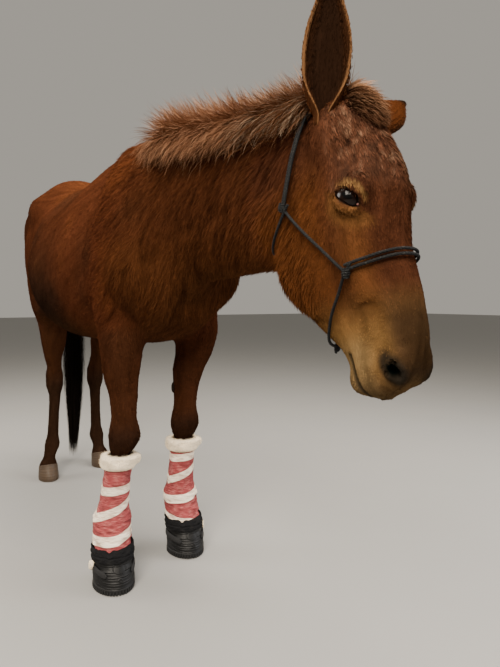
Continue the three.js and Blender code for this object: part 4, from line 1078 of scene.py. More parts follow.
class MULE_OT_skin(MuleOperator, bpy.types.Operator):
    """Wraps the body's field in one closed skin, finer on the head"""

    bl_idname = "mule.skin"
    bl_label = "Skin"

    def execute(self, context):
        points, quads = self.wrapped(context.scene.mule_coat.skin_step)
        mesh = bpy.data.meshes.new("skin")
        mesh.from_pydata(points.tolist(), [], quads.tolist())
        bm = bmesh.new()
        bm.from_mesh(mesh)
        bpy.data.meshes.remove(mesh)
        self.refine(bm, lambda c: c[1] < -1215 and ((c - POLL) @ HEAD[2] > -30))
        self.refine(bm, self.fine)
        bmesh.ops.triangulate(bm, faces=bm.faces[:])
        bm.verts.ensure_lookup_table()
        points = np.array([v.co for v in bm.verts], float)
        faces = np.array([[v.index for v in f.verts] for f in bm.faces], np.int32)
        bm.free()
        points = onto(skin_field, points, 3)
        normals = unit(slope(skin_field, points, 1.5))
        a, b, c = (points[faces[:, i]] for i in range(3))
        if np.einsum("ij,ij->", a, np.cross(b, c)) < 0:
            faces = faces[:, ::-1]
        lie = lie_of(points, normals, 0.0)
        middle = points - np.array([0, -600, 1100])
        strand = middle - 0.88 * lie * (middle * lie).sum(axis=1)[:, None]
        # Painted sheen: lighter and darker streaks along the lie, over the coat's colours
        patches = streaks(points, lie_of(points, normals), 17, 70, 6)
        colours = coat_colours(points, normals) * (1 + 0.2 * patches[:, None])
        skin = build("skin", points, faces, skin_material(), colours, {"strand": strand / 1000})
        self.finish(skin, "coat_body", *FLESH)
        return {"FINISHED"}

    @staticmethod
    def fine(c):
        """Whether a face's middle is at an eye, a nostril or the mouth."""
        down_face = to_head(c)[2]
        if down_face < 150 or c[1] > -1300:
            return False
        return down_face > 455 or min(np.linalg.norm(c - centre) for centre in eye_centres.values()) < 56

    @staticmethod
    def refine(bm, wanted):
        chosen = [f for f in bm.faces if wanted(np.array(f.calc_center_median()))]
        edges = list({e for f in chosen for e in f.edges})
        bmesh.ops.subdivide_edges(bm, edges=edges, cuts=1, use_grid_fill=True)

    @staticmethod
    def wrapped(step):
        """The field's surface in quads, from a grid that is worked out only near it."""
        low = np.array([-306.0, -1640.0, 20.0])
        high = np.array([350.0, 880.0, 1530.0])
        block = 4
        blocks = np.ceil((high - low) / (block * step)).astype(int)
        centres = np.stack(np.meshgrid(*map(np.arange, blocks), indexing="ij"), axis=-1).reshape(-1, 3)
        rough = skin_field(low + (centres * block + (block - 1) / 2) * step)
        values = rough.reshape(blocks)
        for axis in range(3):
            values = np.repeat(values, block, axis)
        near = centres[np.abs(rough) < 6.5 * step]
        inner = np.stack(np.meshgrid(*[np.arange(block)] * 3, indexing="ij"), axis=-1).reshape(-1, 3)
        cells = (near[:, None] * block + inner[None]).reshape(-1, 3)
        values[tuple(cells.T)] = skin_field(low + cells * step)
        values = np.clip(values, -3 * step, 3 * step)
        grid = openvdb.FloatGrid(3 * step)
        grid.copyFromArray(values.astype(np.float32))
        points, quads = grid.convertToQuads(isovalue=0.0)
        return np.array(points, float) * step + low, np.array(quads)


# The mane's line along the crest, from the withers to the poll
def crest_line(count=60):
    base, along = np.array([20.0, -560.0, 1170.0]), unit([90, -840, -20])
    starts = base + along * (60 + 820 * np.linspace(0, 1, count))[:, None]
    return cast(body, starts, [0, 0.02, 1])


def along_line(line, t):
    """Points and directions at shares of a line's length."""
    steps = np.linalg.norm(np.diff(line, axis=0), axis=1)
    places = np.concatenate([[0], np.cumsum(steps)]) / steps.sum()

    def at(share):
        share = np.clip(share, 0, 1)
        return np.stack([np.interp(share, places, column) for column in line.T], axis=-1)

    return at(t), unit(at(t + 0.02) - at(t - 0.02))


class MULE_OT_coat(MuleOperator, bpy.types.Operator):
    """Lays short tufts over the skin, along the coat's lie"""

    bl_idname = "mule.coat"
    bl_label = "Coat"

    def execute(self, context):
        sizes = context.scene.mule_coat
        rng = np.random.default_rng(4)
        skin = bpy.data.objects["skin"]
        hair = hair_material("coat hair", 0.4)
        regions = {
            "torso": (sizes.body_tufts, self.on_torso, 1, "coat_body"),
            "neck": (sizes.neck_tufts, self.on_neck, 2, "coat_neck"),
            "head": (sizes.head_tufts, self.on_head, 2, "coat_head"),
            "legs": (sizes.leg_tufts, self.on_legs, 1, "coat_leg"),
        }
        for name, (count, weigh, layers, slot) in regions.items():
            for number in range(layers):
                p, n = sample(skin, count, weigh, rng)
                lie = lie_of(p, n)
                length, width, lift = self.measures(p)
                length = length * rng.uniform(0.7, 1.25, count)
                lift = (lift * rng.uniform(0.5, 1.5, count))[:, None]
                scatter = rng.normal(0, 0.1, (count, 3))
                # Painted sheen: lighter and darker streaks along the lie, over the tufts' colours
                tone = coat_colours(p, n) * (1 + 0.26 * streaks(p, lie, 9, 34, 7)[:, None])
                brow = self.brow(p)[:, None]
                tone = tone * rng.uniform(0.8, 1.22, (count, 1)) ** (1 + 1.5 * brow)
                way = unit(lie + n * lift + scatter)
                bend = unit(lie + n * lift * 0.2 + scatter)
                bright = 1.25 + 0.9 * brow * rng.random((count, 1)) ** 2
                tips = np.clip(tone * np.array([1.04, 1.0, 0.94]) * bright, 0, 1)
                label, roots = f"coat_{name}_{number + 1}", p - n * 0.8
                piece = tufts(label, hair, roots, n, way, bend, length, width, tone * 0.8, tips, rng)
                self.finish(piece, slot)
        return {"FINISHED"}

    @staticmethod
    def parts(p):
        head_part = ease(-40, 0, to_head(p)[:, 2]) * (p[:, 1] < -1180)
        neck_part = (1 - head_part) * ease(-300, -700, p[:, 1]) * ease(760, 860, p[:, 2])
        leg_part = (1 - head_part) * (1 - neck_part) * ease(800, 700, p[:, 2])
        return head_part, neck_part, leg_part

    def on_torso(self, p, n):
        head_part, neck_part, leg_part = self.parts(p)
        underside = ease(0.0, -0.6, n[:, 2])
        topline = ease(0.6, 0.95, n[:, 2])
        return (1 - head_part) * (1 - neck_part) * (1 - leg_part) * (0.6 + underside + 0.5 * topline)

    def on_neck(self, p, n):
        return self.parts(p)[1]

    def on_head(self, p, n):
        clear = ease(3, 7, to_line(p, mouth_line))
        for centre, out, slit, above in eyes.values():
            r = p - centre
            clear *= np.maximum(ease(13, 17, np.hypot(r @ slit / 1.75, r @ above)), r @ out < 0)
        for centre, along, across, out in nostrils:
            r = p - centre
            clear *= ease(14, 22, np.hypot(r @ along / 1.25, r @ across / 0.82))
        return self.parts(p)[0] * clear * (1 + 0.8 * ease(300, 460, to_head(p)[:, 2]))

    def on_legs(self, p, n):
        bare = np.where(p[:, 1] < 0, p[:, 2] < 400, p[:, 2] < 62)
        return self.parts(p)[2] * ~bare * (1 + ease(600, 300, p[:, 2]))

    def brow(self, p):
        """Where the forehead's hair is long."""
        _, v, s = to_head(p).T
        return self.parts(p)[0] * ease(190, 60, s) * ease(-90, -30, v)

    def measures(self, p):
        """Length, width and lift of the tufts."""
        _, v, s = to_head(p).T
        head_part, neck_part, leg_part = self.parts(p)
        brow = self.brow(p)
        jaw = head_part * ease(-150, -220, v) * ease(460, 330, s)
        nose = head_part * ease(260, 420, s)
        breast = ease(-600, -720, p[:, 1]) * ease(1100, 900, p[:, 2])
        length = 15 + 7 * neck_part - 3 * head_part + 13 * jaw + 8 * brow - 5.5 * nose - 3 * leg_part
        length = length + 5 * breast * (1 - head_part)
        lift = 0.17 + 0.03 * neck_part + 0.3 * jaw + 0.2 * brow - 0.03 * nose
        width = 2.7 - 0.5 * neck_part - 0.7 * head_part - 0.3 * nose - 0.4 * leg_part
        return length, width, lift


def clear_of_ears(roots, way, bend, length):
    """Which locks stay out of the ears' cups."""
    keep = np.ones(len(roots), bool)
    for ear in EARS.values():
        up = unit(ear["way"])
        for share in (0.4, 0.7, 1.0):
            tip = roots + (way * (1 - share / 2) + bend * (share / 2)) * (length * share)[:, None] - ear["base"]
            along = tip @ up
            off = np.linalg.norm(tip - np.outer(along, up), axis=1)
            keep &= (along < 20) | (along > ear["length"]) | (off > 46)
    return keep


class MULE_OT_mane(MuleOperator, bpy.types.Operator):
    """Grows the bushy mane, which falls to the right, and the forelock"""

    bl_idname = "mule.mane"
    bl_label = "Mane and forelock"

    def execute(self, context):
        sizes = context.scene.mule_coat
        rng = np.random.default_rng(8)
        hair = hair_material("mane hair", 0.5)
        self.mane(sizes.mane_locks, sizes.mane_length * 1000, hair, rng)
        self.forelock(sizes.forelock_locks, hair, rng)
        return {"FINISHED"}

    def plant(self, name, slot, fill, hair, rng, *locks):
        """Tufts for the locks that stay out of the ears' cups."""
        roots, _, way, bend, length = locks[:5]
        keep = clear_of_ears(roots, way, bend, length)
        piece = tufts(name, hair, *(values[keep] for values in locks), rng, steps=4, fill=fill)
        self.finish(piece, slot)

    def mane(self, count, length, hair, rng):
        line = crest_line()
        t = rng.random(count)
        across = rng.normal(-8, 18, count)
        at = along_line(line, 0.05 + 0.93 * t)[0]
        up = np.broadcast_to([0.0, 0, 1], at.shape)
        roots = cast(body, at + np.outer(across, [1, 0, 0]) - 70 * up, up) - 6 * up
        fall = ease(16, -24, across + rng.normal(0, 17, count))
        clump = noise(at + up * across[:, None], 40, 21) * 0.3
        low = ease(0.75, 0.2, t)
        way = np.stack([-0.8 * fall - 0.05, 0.12 + clump, 1.0 - 0.65 * fall], axis=1)
        bend = np.stack([-0.8 + 0.1 * fall, 0.3 + 1.3 * clump, 0.8 - (2.0 + 0.5 * low) * fall], axis=1)
        scatter = rng.normal(0, 0.26, (count, 3))
        # Painted shade: a dark hollow where the fallen hair hangs, part way up the crest
        dark = ease(0.62, 0.72, t) * ease(1.05, 0.9, t) * ease(0.2, 0.7, fall)
        shade = 0.8 * (0.8 + 0.4 * rng.random((count, 1)))
        # Lighter, warmer tips vary at random, and are painted light on the mane's top: fewer where the hair falls
        # to the side or lies in the shaded hollow
        warm = rng.random(count) ** 0.8 * (1 - 0.75 * dark) * (1 + 0.5 * clump) * (1 - 0.4 * fall)
        warm = np.clip(warm, 0, 1)[:, None]
        root = mixed("3a1d0f", "6a3a1c", warm) * shade
        tip = mixed("5f3a22", "d8a682", warm) * shade
        tip = tint(tip, "a8937c", 0.8 * ease(0.55, 0.75, t) * (rng.random(count) < 0.3))
        way, bend = unit(way + scatter), unit(bend + 1.2 * scatter)
        taper = ease(-0.08, 0.1, t) * 0.35 + 0.65
        length = (length + 36 * low) * taper * rng.uniform(0.35, 1.15, count)
        width = rng.uniform(1.0, 2.3, count)
        self.plant("mane", "coat_neck", 1.1, hair, rng, roots, up, way, bend, length, width, root, tip)

    def forelock(self, count, hair, rng):
        u = rng.uniform(-46, 26, count)
        s = rng.uniform(-26, 56, count)
        away = np.hypot((u + 10) / 38, (s - 12) / 46)
        keep = away < 1.05
        u, s, away = u[keep], s[keep], away[keep]
        count = len(u)
        inside = np.array([in_head(a, -110, max(b, 12)) for a, b in zip(u, s)])
        ways = np.array([head_way(0, 0.75, -0.5 * ease(24, 0, b)) for b in s])
        roots = cast(body, inside, ways) - ways * 5
        back = ease(50, -20, s)
        clump = noise(roots, 24, 31)
        lean = 0.15 + 0.3 * (u + 40) / 80 + 0.2 * clump
        way = np.stack([lean, 0.75 + 0 * s, -0.1 - 0.7 * back], axis=1) @ HEAD
        bend = np.stack([lean + 0.5, 0.2 + 0.2 * clump, 0.9 - 0.75 * back], axis=1) @ HEAD
        scatter = rng.normal(0, 0.22, (count, 3))
        shade = 0.8 + 0.4 * rng.random((count, 1))
        # Lighter, warmer tips vary at random, and are painted light toward the poll, where the forelock's top
        # takes the light
        warm = np.clip(rng.random((count, 1)) * (0.2 + 1.2 * back[:, None]), 0, 1)
        root = colour("24120a") * shade * 0.6
        tip = mixed("44281a", "d8a47c", warm) * shade * 0.85
        length = (42 + 26 * back) * rng.uniform(0.65, 1.1, count) * (1.05 - 0.35 * away**2)
        way, bend, width = unit(way + scatter), unit(bend + scatter), rng.uniform(0.9, 1.9, count)
        self.plant("forelock", "coat_head", 1.3, hair, rng, roots, ways, way, bend, length, width, root, tip)


TAIL_PATH = [
    [0, 672, 1360], [0, 738, 1360], [0, 788, 1330], [2, 824, 1270], [10, 846, 1170], [28, 850, 980],
    [44, 848, 720], [43, 845, 470], [38, 843, 260], [30, 842, 24],
]


def smooth_line(points, pieces=8):
    """A Catmull-Rom curve through some points."""
    p = np.array(points, float)
    p = np.concatenate([[2 * p[0] - p[1]], p, [2 * p[-1] - p[-2]]])
    t = np.linspace(0, 1, pieces, endpoint=False)[:, None]
    parts = []
    for a, b, c, d in zip(p[:-3], p[1:-2], p[2:-1], p[3:]):
        bow, twist = 2 * a - 5 * b + 4 * c - d, 3 * b - a - 3 * c + d
        parts.append(0.5 * (2 * b + (c - a) * t + bow * t**2 + twist * t**3))
    return np.concatenate([*parts, [p[-2]]])


# The dock's length, as a share of the tail's, and its rings and their points
DOCK, DOCK_RINGS, DOCK_SIDES = 0.62, 26, 20


class MULE_OT_tail(MuleOperator, bpy.types.Operator):
    """Makes the tail's dock and its long black hair"""

    bl_idname = "mule.tail"
    bl_label = "Tail"

    def execute(self, context):
        rng = np.random.default_rng(12)
        hair = hair_material("tail hair", 0.45)
        line = smooth_line(TAIL_PATH)
        self.dock(line, hair)
        self.strands(line, context.scene.mule_coat.tail_strands, hair, rng)
        return {"FINISHED"}

    @staticmethod
    def about(line, place):
        """Points of the tail's line, the way it runs and two directions across it."""
        centre, way = along_line(line, place)
        a = unit(np.cross(way, [0, 1, 0.3]))
        return centre, way, a, np.cross(way, a)

    def dock(self, line, hair):
        places = np.linspace(0, DOCK, DOCK_RINGS)
        centre, _, a, b = (v[:, None] for v in self.about(line, places))
        turn = circle(DOCK_SIDES)[:, None]
        rings = centre + np.linspace(30, 9, DOCK_RINGS)[:, None, None] * (a * np.cos(turn) + b * np.sin(turn))
        top = ease(0.2, 0.05, np.repeat(places, DOCK_SIDES))[:, None]
        shade = colour("150e0a") * (1 - top) + 0.6 * colour("5a2a12") * top
        shade = np.concatenate([shade, [colour("150e0a")] * 2])
        self.finish(solid_tube("dock", rings, hair, colours=shade), "tail_hair", "tail")

    def strands(self, line, count, hair, rng):
        start = rng.uniform(0.0, DOCK, count) ** 0.9
        reach = np.minimum(start + rng.uniform(0.28, 0.46, count), rng.uniform(0.93, 1.0, count))
        turn = rng.uniform(0, 2 * np.pi, count)
        widths = rng.uniform(1.6, 3.6, count)
        swing = 3 * rng.normal(0, 1, (count, 2))
        far = rng.uniform(0.25, 1.0, count) ** 0.5
        root = np.interp(start, [0, DOCK], [30, 9])
        steps = 14
        rows = []
        for t in np.arange(steps + 1) / steps:
            place = start + (reach - start) * t
            centre, way, a, b = self.about(line, place)
            swell = 24 + 48 * ease(0.15, 0.5, place) - 46 * ease(0.6, 1.0, place)
            spread = root * (1 - t) ** 1.2 * 0.95 + t * swell * far
            out = a * np.cos(turn)[:, None] + b * np.sin(turn)[:, None]
            wave = a * (swing[:, :1] * math.sin(3.2 * t)) + b * (swing[:, 1:] * math.sin(2.6 * t))
            centre = centre + out * (spread * rng.uniform(0.97, 1.03, count))[:, None] + wave
            side = unit(np.cross(way, out)) * (widths * (1 - 0.85 * t**3))[:, None] * 0.5
            rows += [np.maximum(edge, [-np.inf, -np.inf, 6]) for edge in (centre - side, centre + side)]
        tone = colour("14100d") * rng.uniform(0.6, 1.9, (count, 1))
        tone = tone + (colour("5a2a12") * 0.5 - tone) * ease(0.16, 0.0, start)[:, None]
        spot = bake_places(along_line(line, start)[0], np.stack([np.cos(turn), np.sin(turn), 0 * turn], axis=1))
        self.finish(ribbons("tail_hair", hair, rows, [tone] * len(rows), spot), "tail_hair")


# An ear: [place, half-width, depth, opening, thickness]
EAR = [
    [0, 19, 20, 150, 7], [0.09, 28, 25, 132, 7], [0.18, 37, 26, 116, 6], [0.3, 44, 25, 102, 6],
    [0.43, 45.5, 22, 95, 5], [0.56, 42, 18, 88, 5], [0.7, 31, 14, 84, 4], [0.84, 17, 9, 78, 3.5],
    [0.94, 8, 5, 74, 2.5], [1, 2, 1.5, 70, 1],
]
EAR_ROWS, EAR_COLUMNS = 44, 22
EARS = {
    "right": {"base": in_head(-72, -84, 34), "way": [0.1, 0.05, 1], "face": [-0.62, -0.78, 0.05]},
    "left": {"base": in_head(58, -84, 24), "way": [0.8, 0.42, 0.44], "face": [0.2, 0.75, -0.5]},
}
EARS["right"].update(length=286, bend=26)
EARS["left"].update(length=272, bend=-8)


class MULE_OT_ears(MuleOperator, bpy.types.Operator):
    """Makes the ears' cups, with hair inside and along their rims"""

    bl_idname = "mule.ears"
    bl_label = "Ears"

    def execute(self, context):
        rng = np.random.default_rng(16)
        skin, hair = skin_material(), hair_material("ear hair", 0.5)
        for name, ear in EARS.items():
            up = unit(ear["way"])
            face = unit(np.array(ear["face"]) - up * (np.array(ear["face"]) @ up))
            side = np.cross(up, face)
            t = np.linspace(-0.06, 1, EAR_ROWS)
            half, depth, opening, thick = curves(EAR)(np.maximum(t, 0)).T
            turn = np.sin(np.linspace(np.pi / 2, -np.pi / 2, EAR_COLUMNS))
            sheets = []
            for part in (1, -1):
                angle = np.radians(opening)[:, None] * turn * part
                inset = thick if part < 0 else 0.8
                folds = 1 + 0.05 * (part < 0) * np.sin(9 * angle) * ease(0.1, 0.35, t)[:, None]
                across = (half - inset)[:, None] * folds * np.sin(angle)
                fore = (inset - depth)[:, None] * folds * np.cos(angle) + (ear["bend"] * t * t)[:, None]
                p = ear["base"] + up * (ear["length"] * t)[:, None, None]
                sheets.append(p + side * across[..., None] + face * fore[..., None])
            rings = np.concatenate(sheets, axis=1)
            points = rings.reshape(-1, 3)
            inner = np.tile(np.repeat([0.0, 1.0], EAR_COLUMNS), EAR_ROWS)
            edge = np.tile(np.abs(turn), 2 * EAR_ROWS)
            high = np.repeat(t, 2 * EAR_COLUMNS)
            tone = self.tones(inner, edge, high)
            strand = (points - up * 0.9 * (points @ up)[:, None]) / 1000
            extra = {"strand": np.concatenate([strand, strand[:2]])}
            colours = np.concatenate([tone, tone[:1], tone[-1:]])
            piece = solid_tube(f"ear_{name}_cup", rings, skin, colours=colours, extra=extra)
            self.finish(piece, "coat_ear", f"ear_{name}")
            self.hairs(f"ear_{name}_hair", points, inner, edge, high, tone, (up, face, side), hair, rng)
        return {"FINISHED"}

    @staticmethod
    def tones(inner, edge, high):
        tone = layered(
            "743e1c",
            ("55301a", (1 - inner) * 0.8 * ease(0.5, 0.85, edge)),
            ("341a0d", inner * 0.95),
            ("4f2a14", inner * 0.7 * ease(0.35, 0.9, edge)),
            # Painted light: a thin golden rim where the ear's edges catch the light
            ("c08a5c", 0.75 * (1 - 0.7 * inner) * ease(0.985, 1.0, edge)),
            ("1e0f09", 0.9 * ease(0.78, 0.94, high)),
        )
        return tone * SHADE + 0.5 * COAT_GREYING

    def hairs(self, name, points, inner, edge, high, tone, axes, hair, rng):
        up, face, side = axes
        weight = np.where(inner > 0.5, 0.9 * (edge < 0.97), 1.0) * (high > 0.02) * (high < 0.985)
        count = 14000
        at = rng.choice(len(points), count, p=weight / weight.sum())
        inner, edge, tone = inner[at] > 0.5, edge[at], tone[at]
        out = np.where(inner, 1.0, -1.0)[:, None] * face
        spread = rng.normal(0, 2.2, (count, 3))
        spread -= out * (spread * out).sum(axis=1)[:, None]
        above = at + 2 * EAR_COLUMNS
        above = np.where(above < len(points), above, at)
        roots = points[at] + (points[above] - points[at]) * rng.random((count, 1)) + spread * (edge < 0.9)[:, None]
        rim = ease(0.85, 1.0, edge)[:, None]
        across = side * np.sign((points[at] - points.mean(axis=0)) @ side)[:, None]
        way = up + out * 0.12 + rim * (across * 0.55 + face * 0.5) + rng.normal(0, 0.12, (count, 3))
        bend = up + rim * (across * 0.15 + face * 0.2) + rng.normal(0, 0.12, (count, 3))
        tone = tone * rng.uniform(0.75, 1.3, (count, 1))
        tips = np.clip(tone * 1.35, 0, 1)
        length = (7 + 4 * inner * (1 - rim[:, 0])) * rng.uniform(0.6, 1.2, count)
        width = rng.uniform(0.9, 1.9, count)
        piece = tufts(name, hair, roots, out, unit(way), unit(bend), length, width, tone * 0.8, tips, rng)
        self.finish(piece, "coat_ear")


class MULE_OT_eyes(MuleOperator, bpy.types.Operator):
    """Makes the eyes, their lids and lashes"""

    bl_idname = "mule.eyes"
    bl_label = "Eyes"

    def execute(self, context):
        rng = np.random.default_rng(20)
        skin = skin_material()
        lashes = hair_material("lashes", 0.5)
        for name, eye in eyes.items():
            self.ball(name, *eye)
            self.lids(name, eye, skin, lashes, rng)
            self.corner(name, *eye)
            self.lashes(name, eye, lashes, rng)
        return {"FINISHED"}

    @staticmethod
    def over(eye, radius, spread, angle, way=1):
        """Points about an eye, so far from its centre and off its front, at an angle round it."""
        centre, out, slit, above = eye
        return (
            centre
            + out * (radius * np.cos(spread))[:, None]
            + slit * (radius * np.sin(spread) * np.cos(angle))[:, None]
            + above * (way * radius * np.sin(spread) * np.sin(angle))[:, None]
        )

    @staticmethod
    def margin(angle, way=1):
        """How far off the eye's front a lid's edge runs."""
        return np.radians(70 - (51 if way > 0 else 46) * np.sin(np.clip(angle, 0, np.pi)))

    def ball(self, name, centre, out, slit, above):
        local, faces = sphere(bmesh.ops.create_uvsphere, u_segments=48, v_segments=32)
        across, high, deep = local.T
        bulge = 1 + 0.035 * ease(0.8, 0.95, deep)
        points = in_frame(centre, local * bulge[:, None] * (EYE["radius"] - 0.3), slit, above, out)
        if np.dot(np.cross(slit, above), out) < 0:
            faces = faces[:, ::-1]
        ring, pupil, front = np.hypot(across, high), np.hypot(across / 0.42, high / 0.2), deep > 0
        tone = layered(
            "1a0f0b",
            ("24140d", 0.9 * ease(0.75, 0.86, ring) * front),
            ("180c08", ease(0.72, 0.6, ring) * front),
            ("050405", ease(1.1, 0.9, pupil) * front),
        )
        s = Shader("eye", Roughness=0.13, IOR=1.38, Specular_IOR_Level=0.32)
        base = s.attribute("Coat")
        material = s.feed(Base_Color=s.mix(base, s.scaled(base, 0.5), s.noise(900.0, 3.0)))
        self.finish(build(f"eyeball_{name}", points, faces, material, tone), "eye", f"eye_{name}")

    def lids(self, name, eye, skin, hair, rng):
        """Two rolled lids over the ball, with folds above the upper one."""
        centre, radius = eye[0], EYE["radius"]
        # The lower lid faces down into shade, so its colours and its hair are lightened: a painted light
        for way, label, bright in ((1, "upper", 1), (-1, "lower", 1.9)):
            steps, columns = 26, 34
            angle = np.pi * np.linspace(-0.02, 1.02, columns)
            margin = self.margin(angle, way)
            rows = []
            for b in np.linspace(0, 1, steps):
                spread = margin + (np.radians(100) - margin) * max(0.0, (b - 0.16) / 0.84)
                roll = 2.8 * math.sin(min(b / 0.16, 1) * math.pi / 2)
                inner = radius - 1.2 if b == 0 else radius + 0.3 + roll
                folds = 0.9 * math.sin(b * 16) * (b > 0.2) * (way > 0) * math.exp(-3 * b)
                rows.append(self.over(eye, inner + folds - 3.5 * b * b, spread, angle, way))
            back = [row + unit(centre - row) * 2.2 for row in rows[:0:-1]]
            rings = np.array(rows + back).transpose(1, 0, 2)
            p = rings.reshape(-1, 3)
            b = np.tile(np.concatenate([np.linspace(0, 1, steps), np.linspace(1, 0, steps - 1)]), columns)
            tone = coat_colours(p, unit(p - centre)) * (1 if way > 0 else 1.8)
            tone = tint(tone, "0c0706", 0.95 * ease(0.3, 0.14, b))
            colours, extra = np.concatenate([tone, tone[:2]]), {"strand": np.concatenate([p, p[:2]]) / 1000}
            piece = solid_tube(f"lid_{label}_{name}", rings, skin, colours=colours, extra=extra)
            recalculate(piece)
            self.finish(piece, "coat_head")
            self.lid_hair(piece, f"lid_{label}_{name}_hair", eye, hair, bright, rng)

    def lid_hair(self, lid, name, eye, hair, bright, rng):
        """Short hair over a lid, away from its edge."""
        centre, out = eye[:2]

        def clear(p, n):
            r = p - centre
            away = np.linalg.norm(np.cross(r, out), axis=1)
            return ((n * unit(r)).sum(axis=1) > 0.3) * ease(13, 18, away) * (r @ out > -4)

        count = 1600
        p, n = sample(lid, count, clear, rng)
        away = p - centre - np.outer((p - centre) @ out, out)
        lie = unit(0.6 * unit(away) + HEAD[2] + rng.normal(0, 0.15, (count, 3)))
        # bright lightens the lower lid's hair: a painted light against its shade
        tone = coat_colours(p, n) * bright * rng.uniform(0.8, 1.25, (count, 1))
        length, width = rng.uniform(4, 8, count), rng.uniform(0.7, 1.3, count)
        way = unit(lie + 0.25 * n)
        self.finish(tufts(name, hair, p, n, way, lie, length, width, tone * 0.85, tone * 1.3, rng), "coat_head")

    def corner(self, name, centre, out, slit, above):
        """The pink corner of the eye."""
        local, faces = sphere(bmesh.ops.create_icosphere, subdivisions=3)
        local = local * np.array([4.2, 3.0, 2.0]) * (1 + 0.08 * noise(local * 10, 4, 2))[:, None]
        angle = math.radians(58)
        place = unit(out * math.cos(angle) + slit * math.sin(angle) - above * 0.04)
        points = in_frame(centre + place * (EYE["radius"] - 0.3), local, slit, above, place)
        piece = build(f"corner_{name}", points, faces, painted(f"corner {name}", "8a5a52", 0.25, 500.0, 0.0002))
        recalculate(piece)
        self.finish(piece, "eye")

    def lashes(self, name, eye, material, rng):
        centre, out, _, above = eye
        count = 80
        angle = np.pi * rng.uniform(0.12, 0.9, count)
        margin = self.margin(angle) + np.radians(rng.uniform(0, 3, count))
        at = self.over(eye, EYE["radius"] + 2.6, margin, angle)
        away = unit(at - centre)
        way = unit(out + 0.05 * above + 0.35 * away + rng.normal(0, 0.1, (count, 3)))
        bend = unit(out * 0.6 - 0.9 * above + 0.4 * away + rng.normal(0, 0.12, (count, 3)))
        tone = np.broadcast_to(colour("0d0807"), at.shape)
        length = rng.uniform(6, 11, count)
        piece = tufts(f"lashes_{name}", material, at, away, way, bend, length, 0.6, tone, tone, rng, steps=3)
        self.finish(piece, "coat_head")


def oval(x, y, z, half, front, back, sides=64):
    angle = circle(sides)
    reach = np.where(np.sin(angle) < 0, front, back)
    z = np.broadcast_to(z, angle.shape)
    return np.stack([x + half * np.cos(angle), y + reach * np.sin(angle), z], axis=1)


def leg_at(name, z):
    return curves(LEG_LINES[name])(z)


# A hoof: [height, half-width, front, back]
HOOVES = {
    "fore": [[12.3, 49, 72, 48], [24, 50, 70, 48], [91.7, 46, 50, 44]],
    "hind": [[0, 47, 70, 46], [14, 48, 70, 46], [66, 45, 51, 43]],
}


class MULE_OT_hooves(MuleOperator, bpy.types.Operator):
    """Makes the hind hooves, with growth rings and a worn edge, and the fore hooves in the boots"""

    bl_idname = "mule.hooves"
    bl_label = "Hooves and chestnuts"

    def execute(self, context):
        s = Shader("hoof", Roughness=0.55, Specular_IOR_Level=0.4)
        rings, fibres = s.noise((6.0, 6.0, 90.0), 4.0, 0.6), s.noise((150.0, 150.0, 8.0), 3.0)
        shade = s.mix("1e1610", "5d4935", rings * 0.6 + fibres * 0.4)
        rough = s.range(fibres, 0.3, 0.7, 0.45, 0.7)
        material = s.feed((rings + fibres * 0.4, 0.0015, 0.6), Base_Color=shade, Roughness=rough)
        for name in LEG_LINES:
            self.hoof(name, HOOVES[name[:4]], material)
        horn = painted("chestnut", "1c120c", 0.8, 300.0, 0.0012, 0.5, Specular_IOR_Level=0.1)
        for name, side in (("fore_right", 1), ("fore_left", -1)):
            at = surface([*leg_at(name, 590), 590], [side, 0.25, 0])
            local, faces = sphere(bmesh.ops.create_icosphere, subdivisions=4)
            local = local * (1 + 0.16 * noise(local * 10, 3, 5)[:, None]) * np.array([5, 10, 20])
            self.finish(build(f"chestnut_{name}", at + local, faces, horn), "hoof")
        return {"FINISHED"}

    def hoof(self, name, rows, material):
        low, top = rows[0][0], rows[-1][0]
        rings = []
        for i, z in enumerate([low, *np.linspace(low + 1.5, top - 0.3, 26)]):
            grow = 0.8 * math.sin(z * 0.62) * (z < top - 6) if i else -2.5
            half, front, back = curves(rows)(z) + grow
            ring = oval(*leg_at(name, z), z, half, front, back)
            if name.startswith("hind"):
                lean = (leg_at(name, top)[1] - ring[:, 1]) * 0.3 * (z / top) ** 2
                ring[:, 2] = np.clip(z + lean, 0, None)
            rings.append(ring)
        self.finish(solid_tube(f"hoof_{name}_horn", rings, material), "hoof", f"hoof_{name}")


# The bandage's white edge: turns from the front-left, and heights
BAND = [
    [-1, 440], [-0.5, 352], [-0.25, 318], [0, 290], [0.25, 296], [0.5, 300], [0.75, 252], [1, 206],
    [1.25, 234], [1.5, 270], [1.75, 190], [1.9, 152], [2, 143], [2.25, 148], [2.42, 162],
    [2.5, 163], [2.75, 112], [3, 84], [4, 20],
]
SLEEVES = {
    "wrap": [[104, 15], [126, 22], [150, 25], [192, 23], [358, 20]],
    "gaiter": [[88.3, 20], [104, 24], [128, 31]],
}


def grid(heights, sides):
    """Heights and angles over a sleeve's rings."""
    return np.meshgrid(heights, circle(sides), indexing="ij")


def drum(around, high, radius=60):
    return np.stack([np.cos(around) * radius, np.sin(around) * radius, high], axis=-1)


def centred(angle):
    """Angles brought between minus and plus half a turn."""
    return (angle + np.pi) % (2 * np.pi) - np.pi


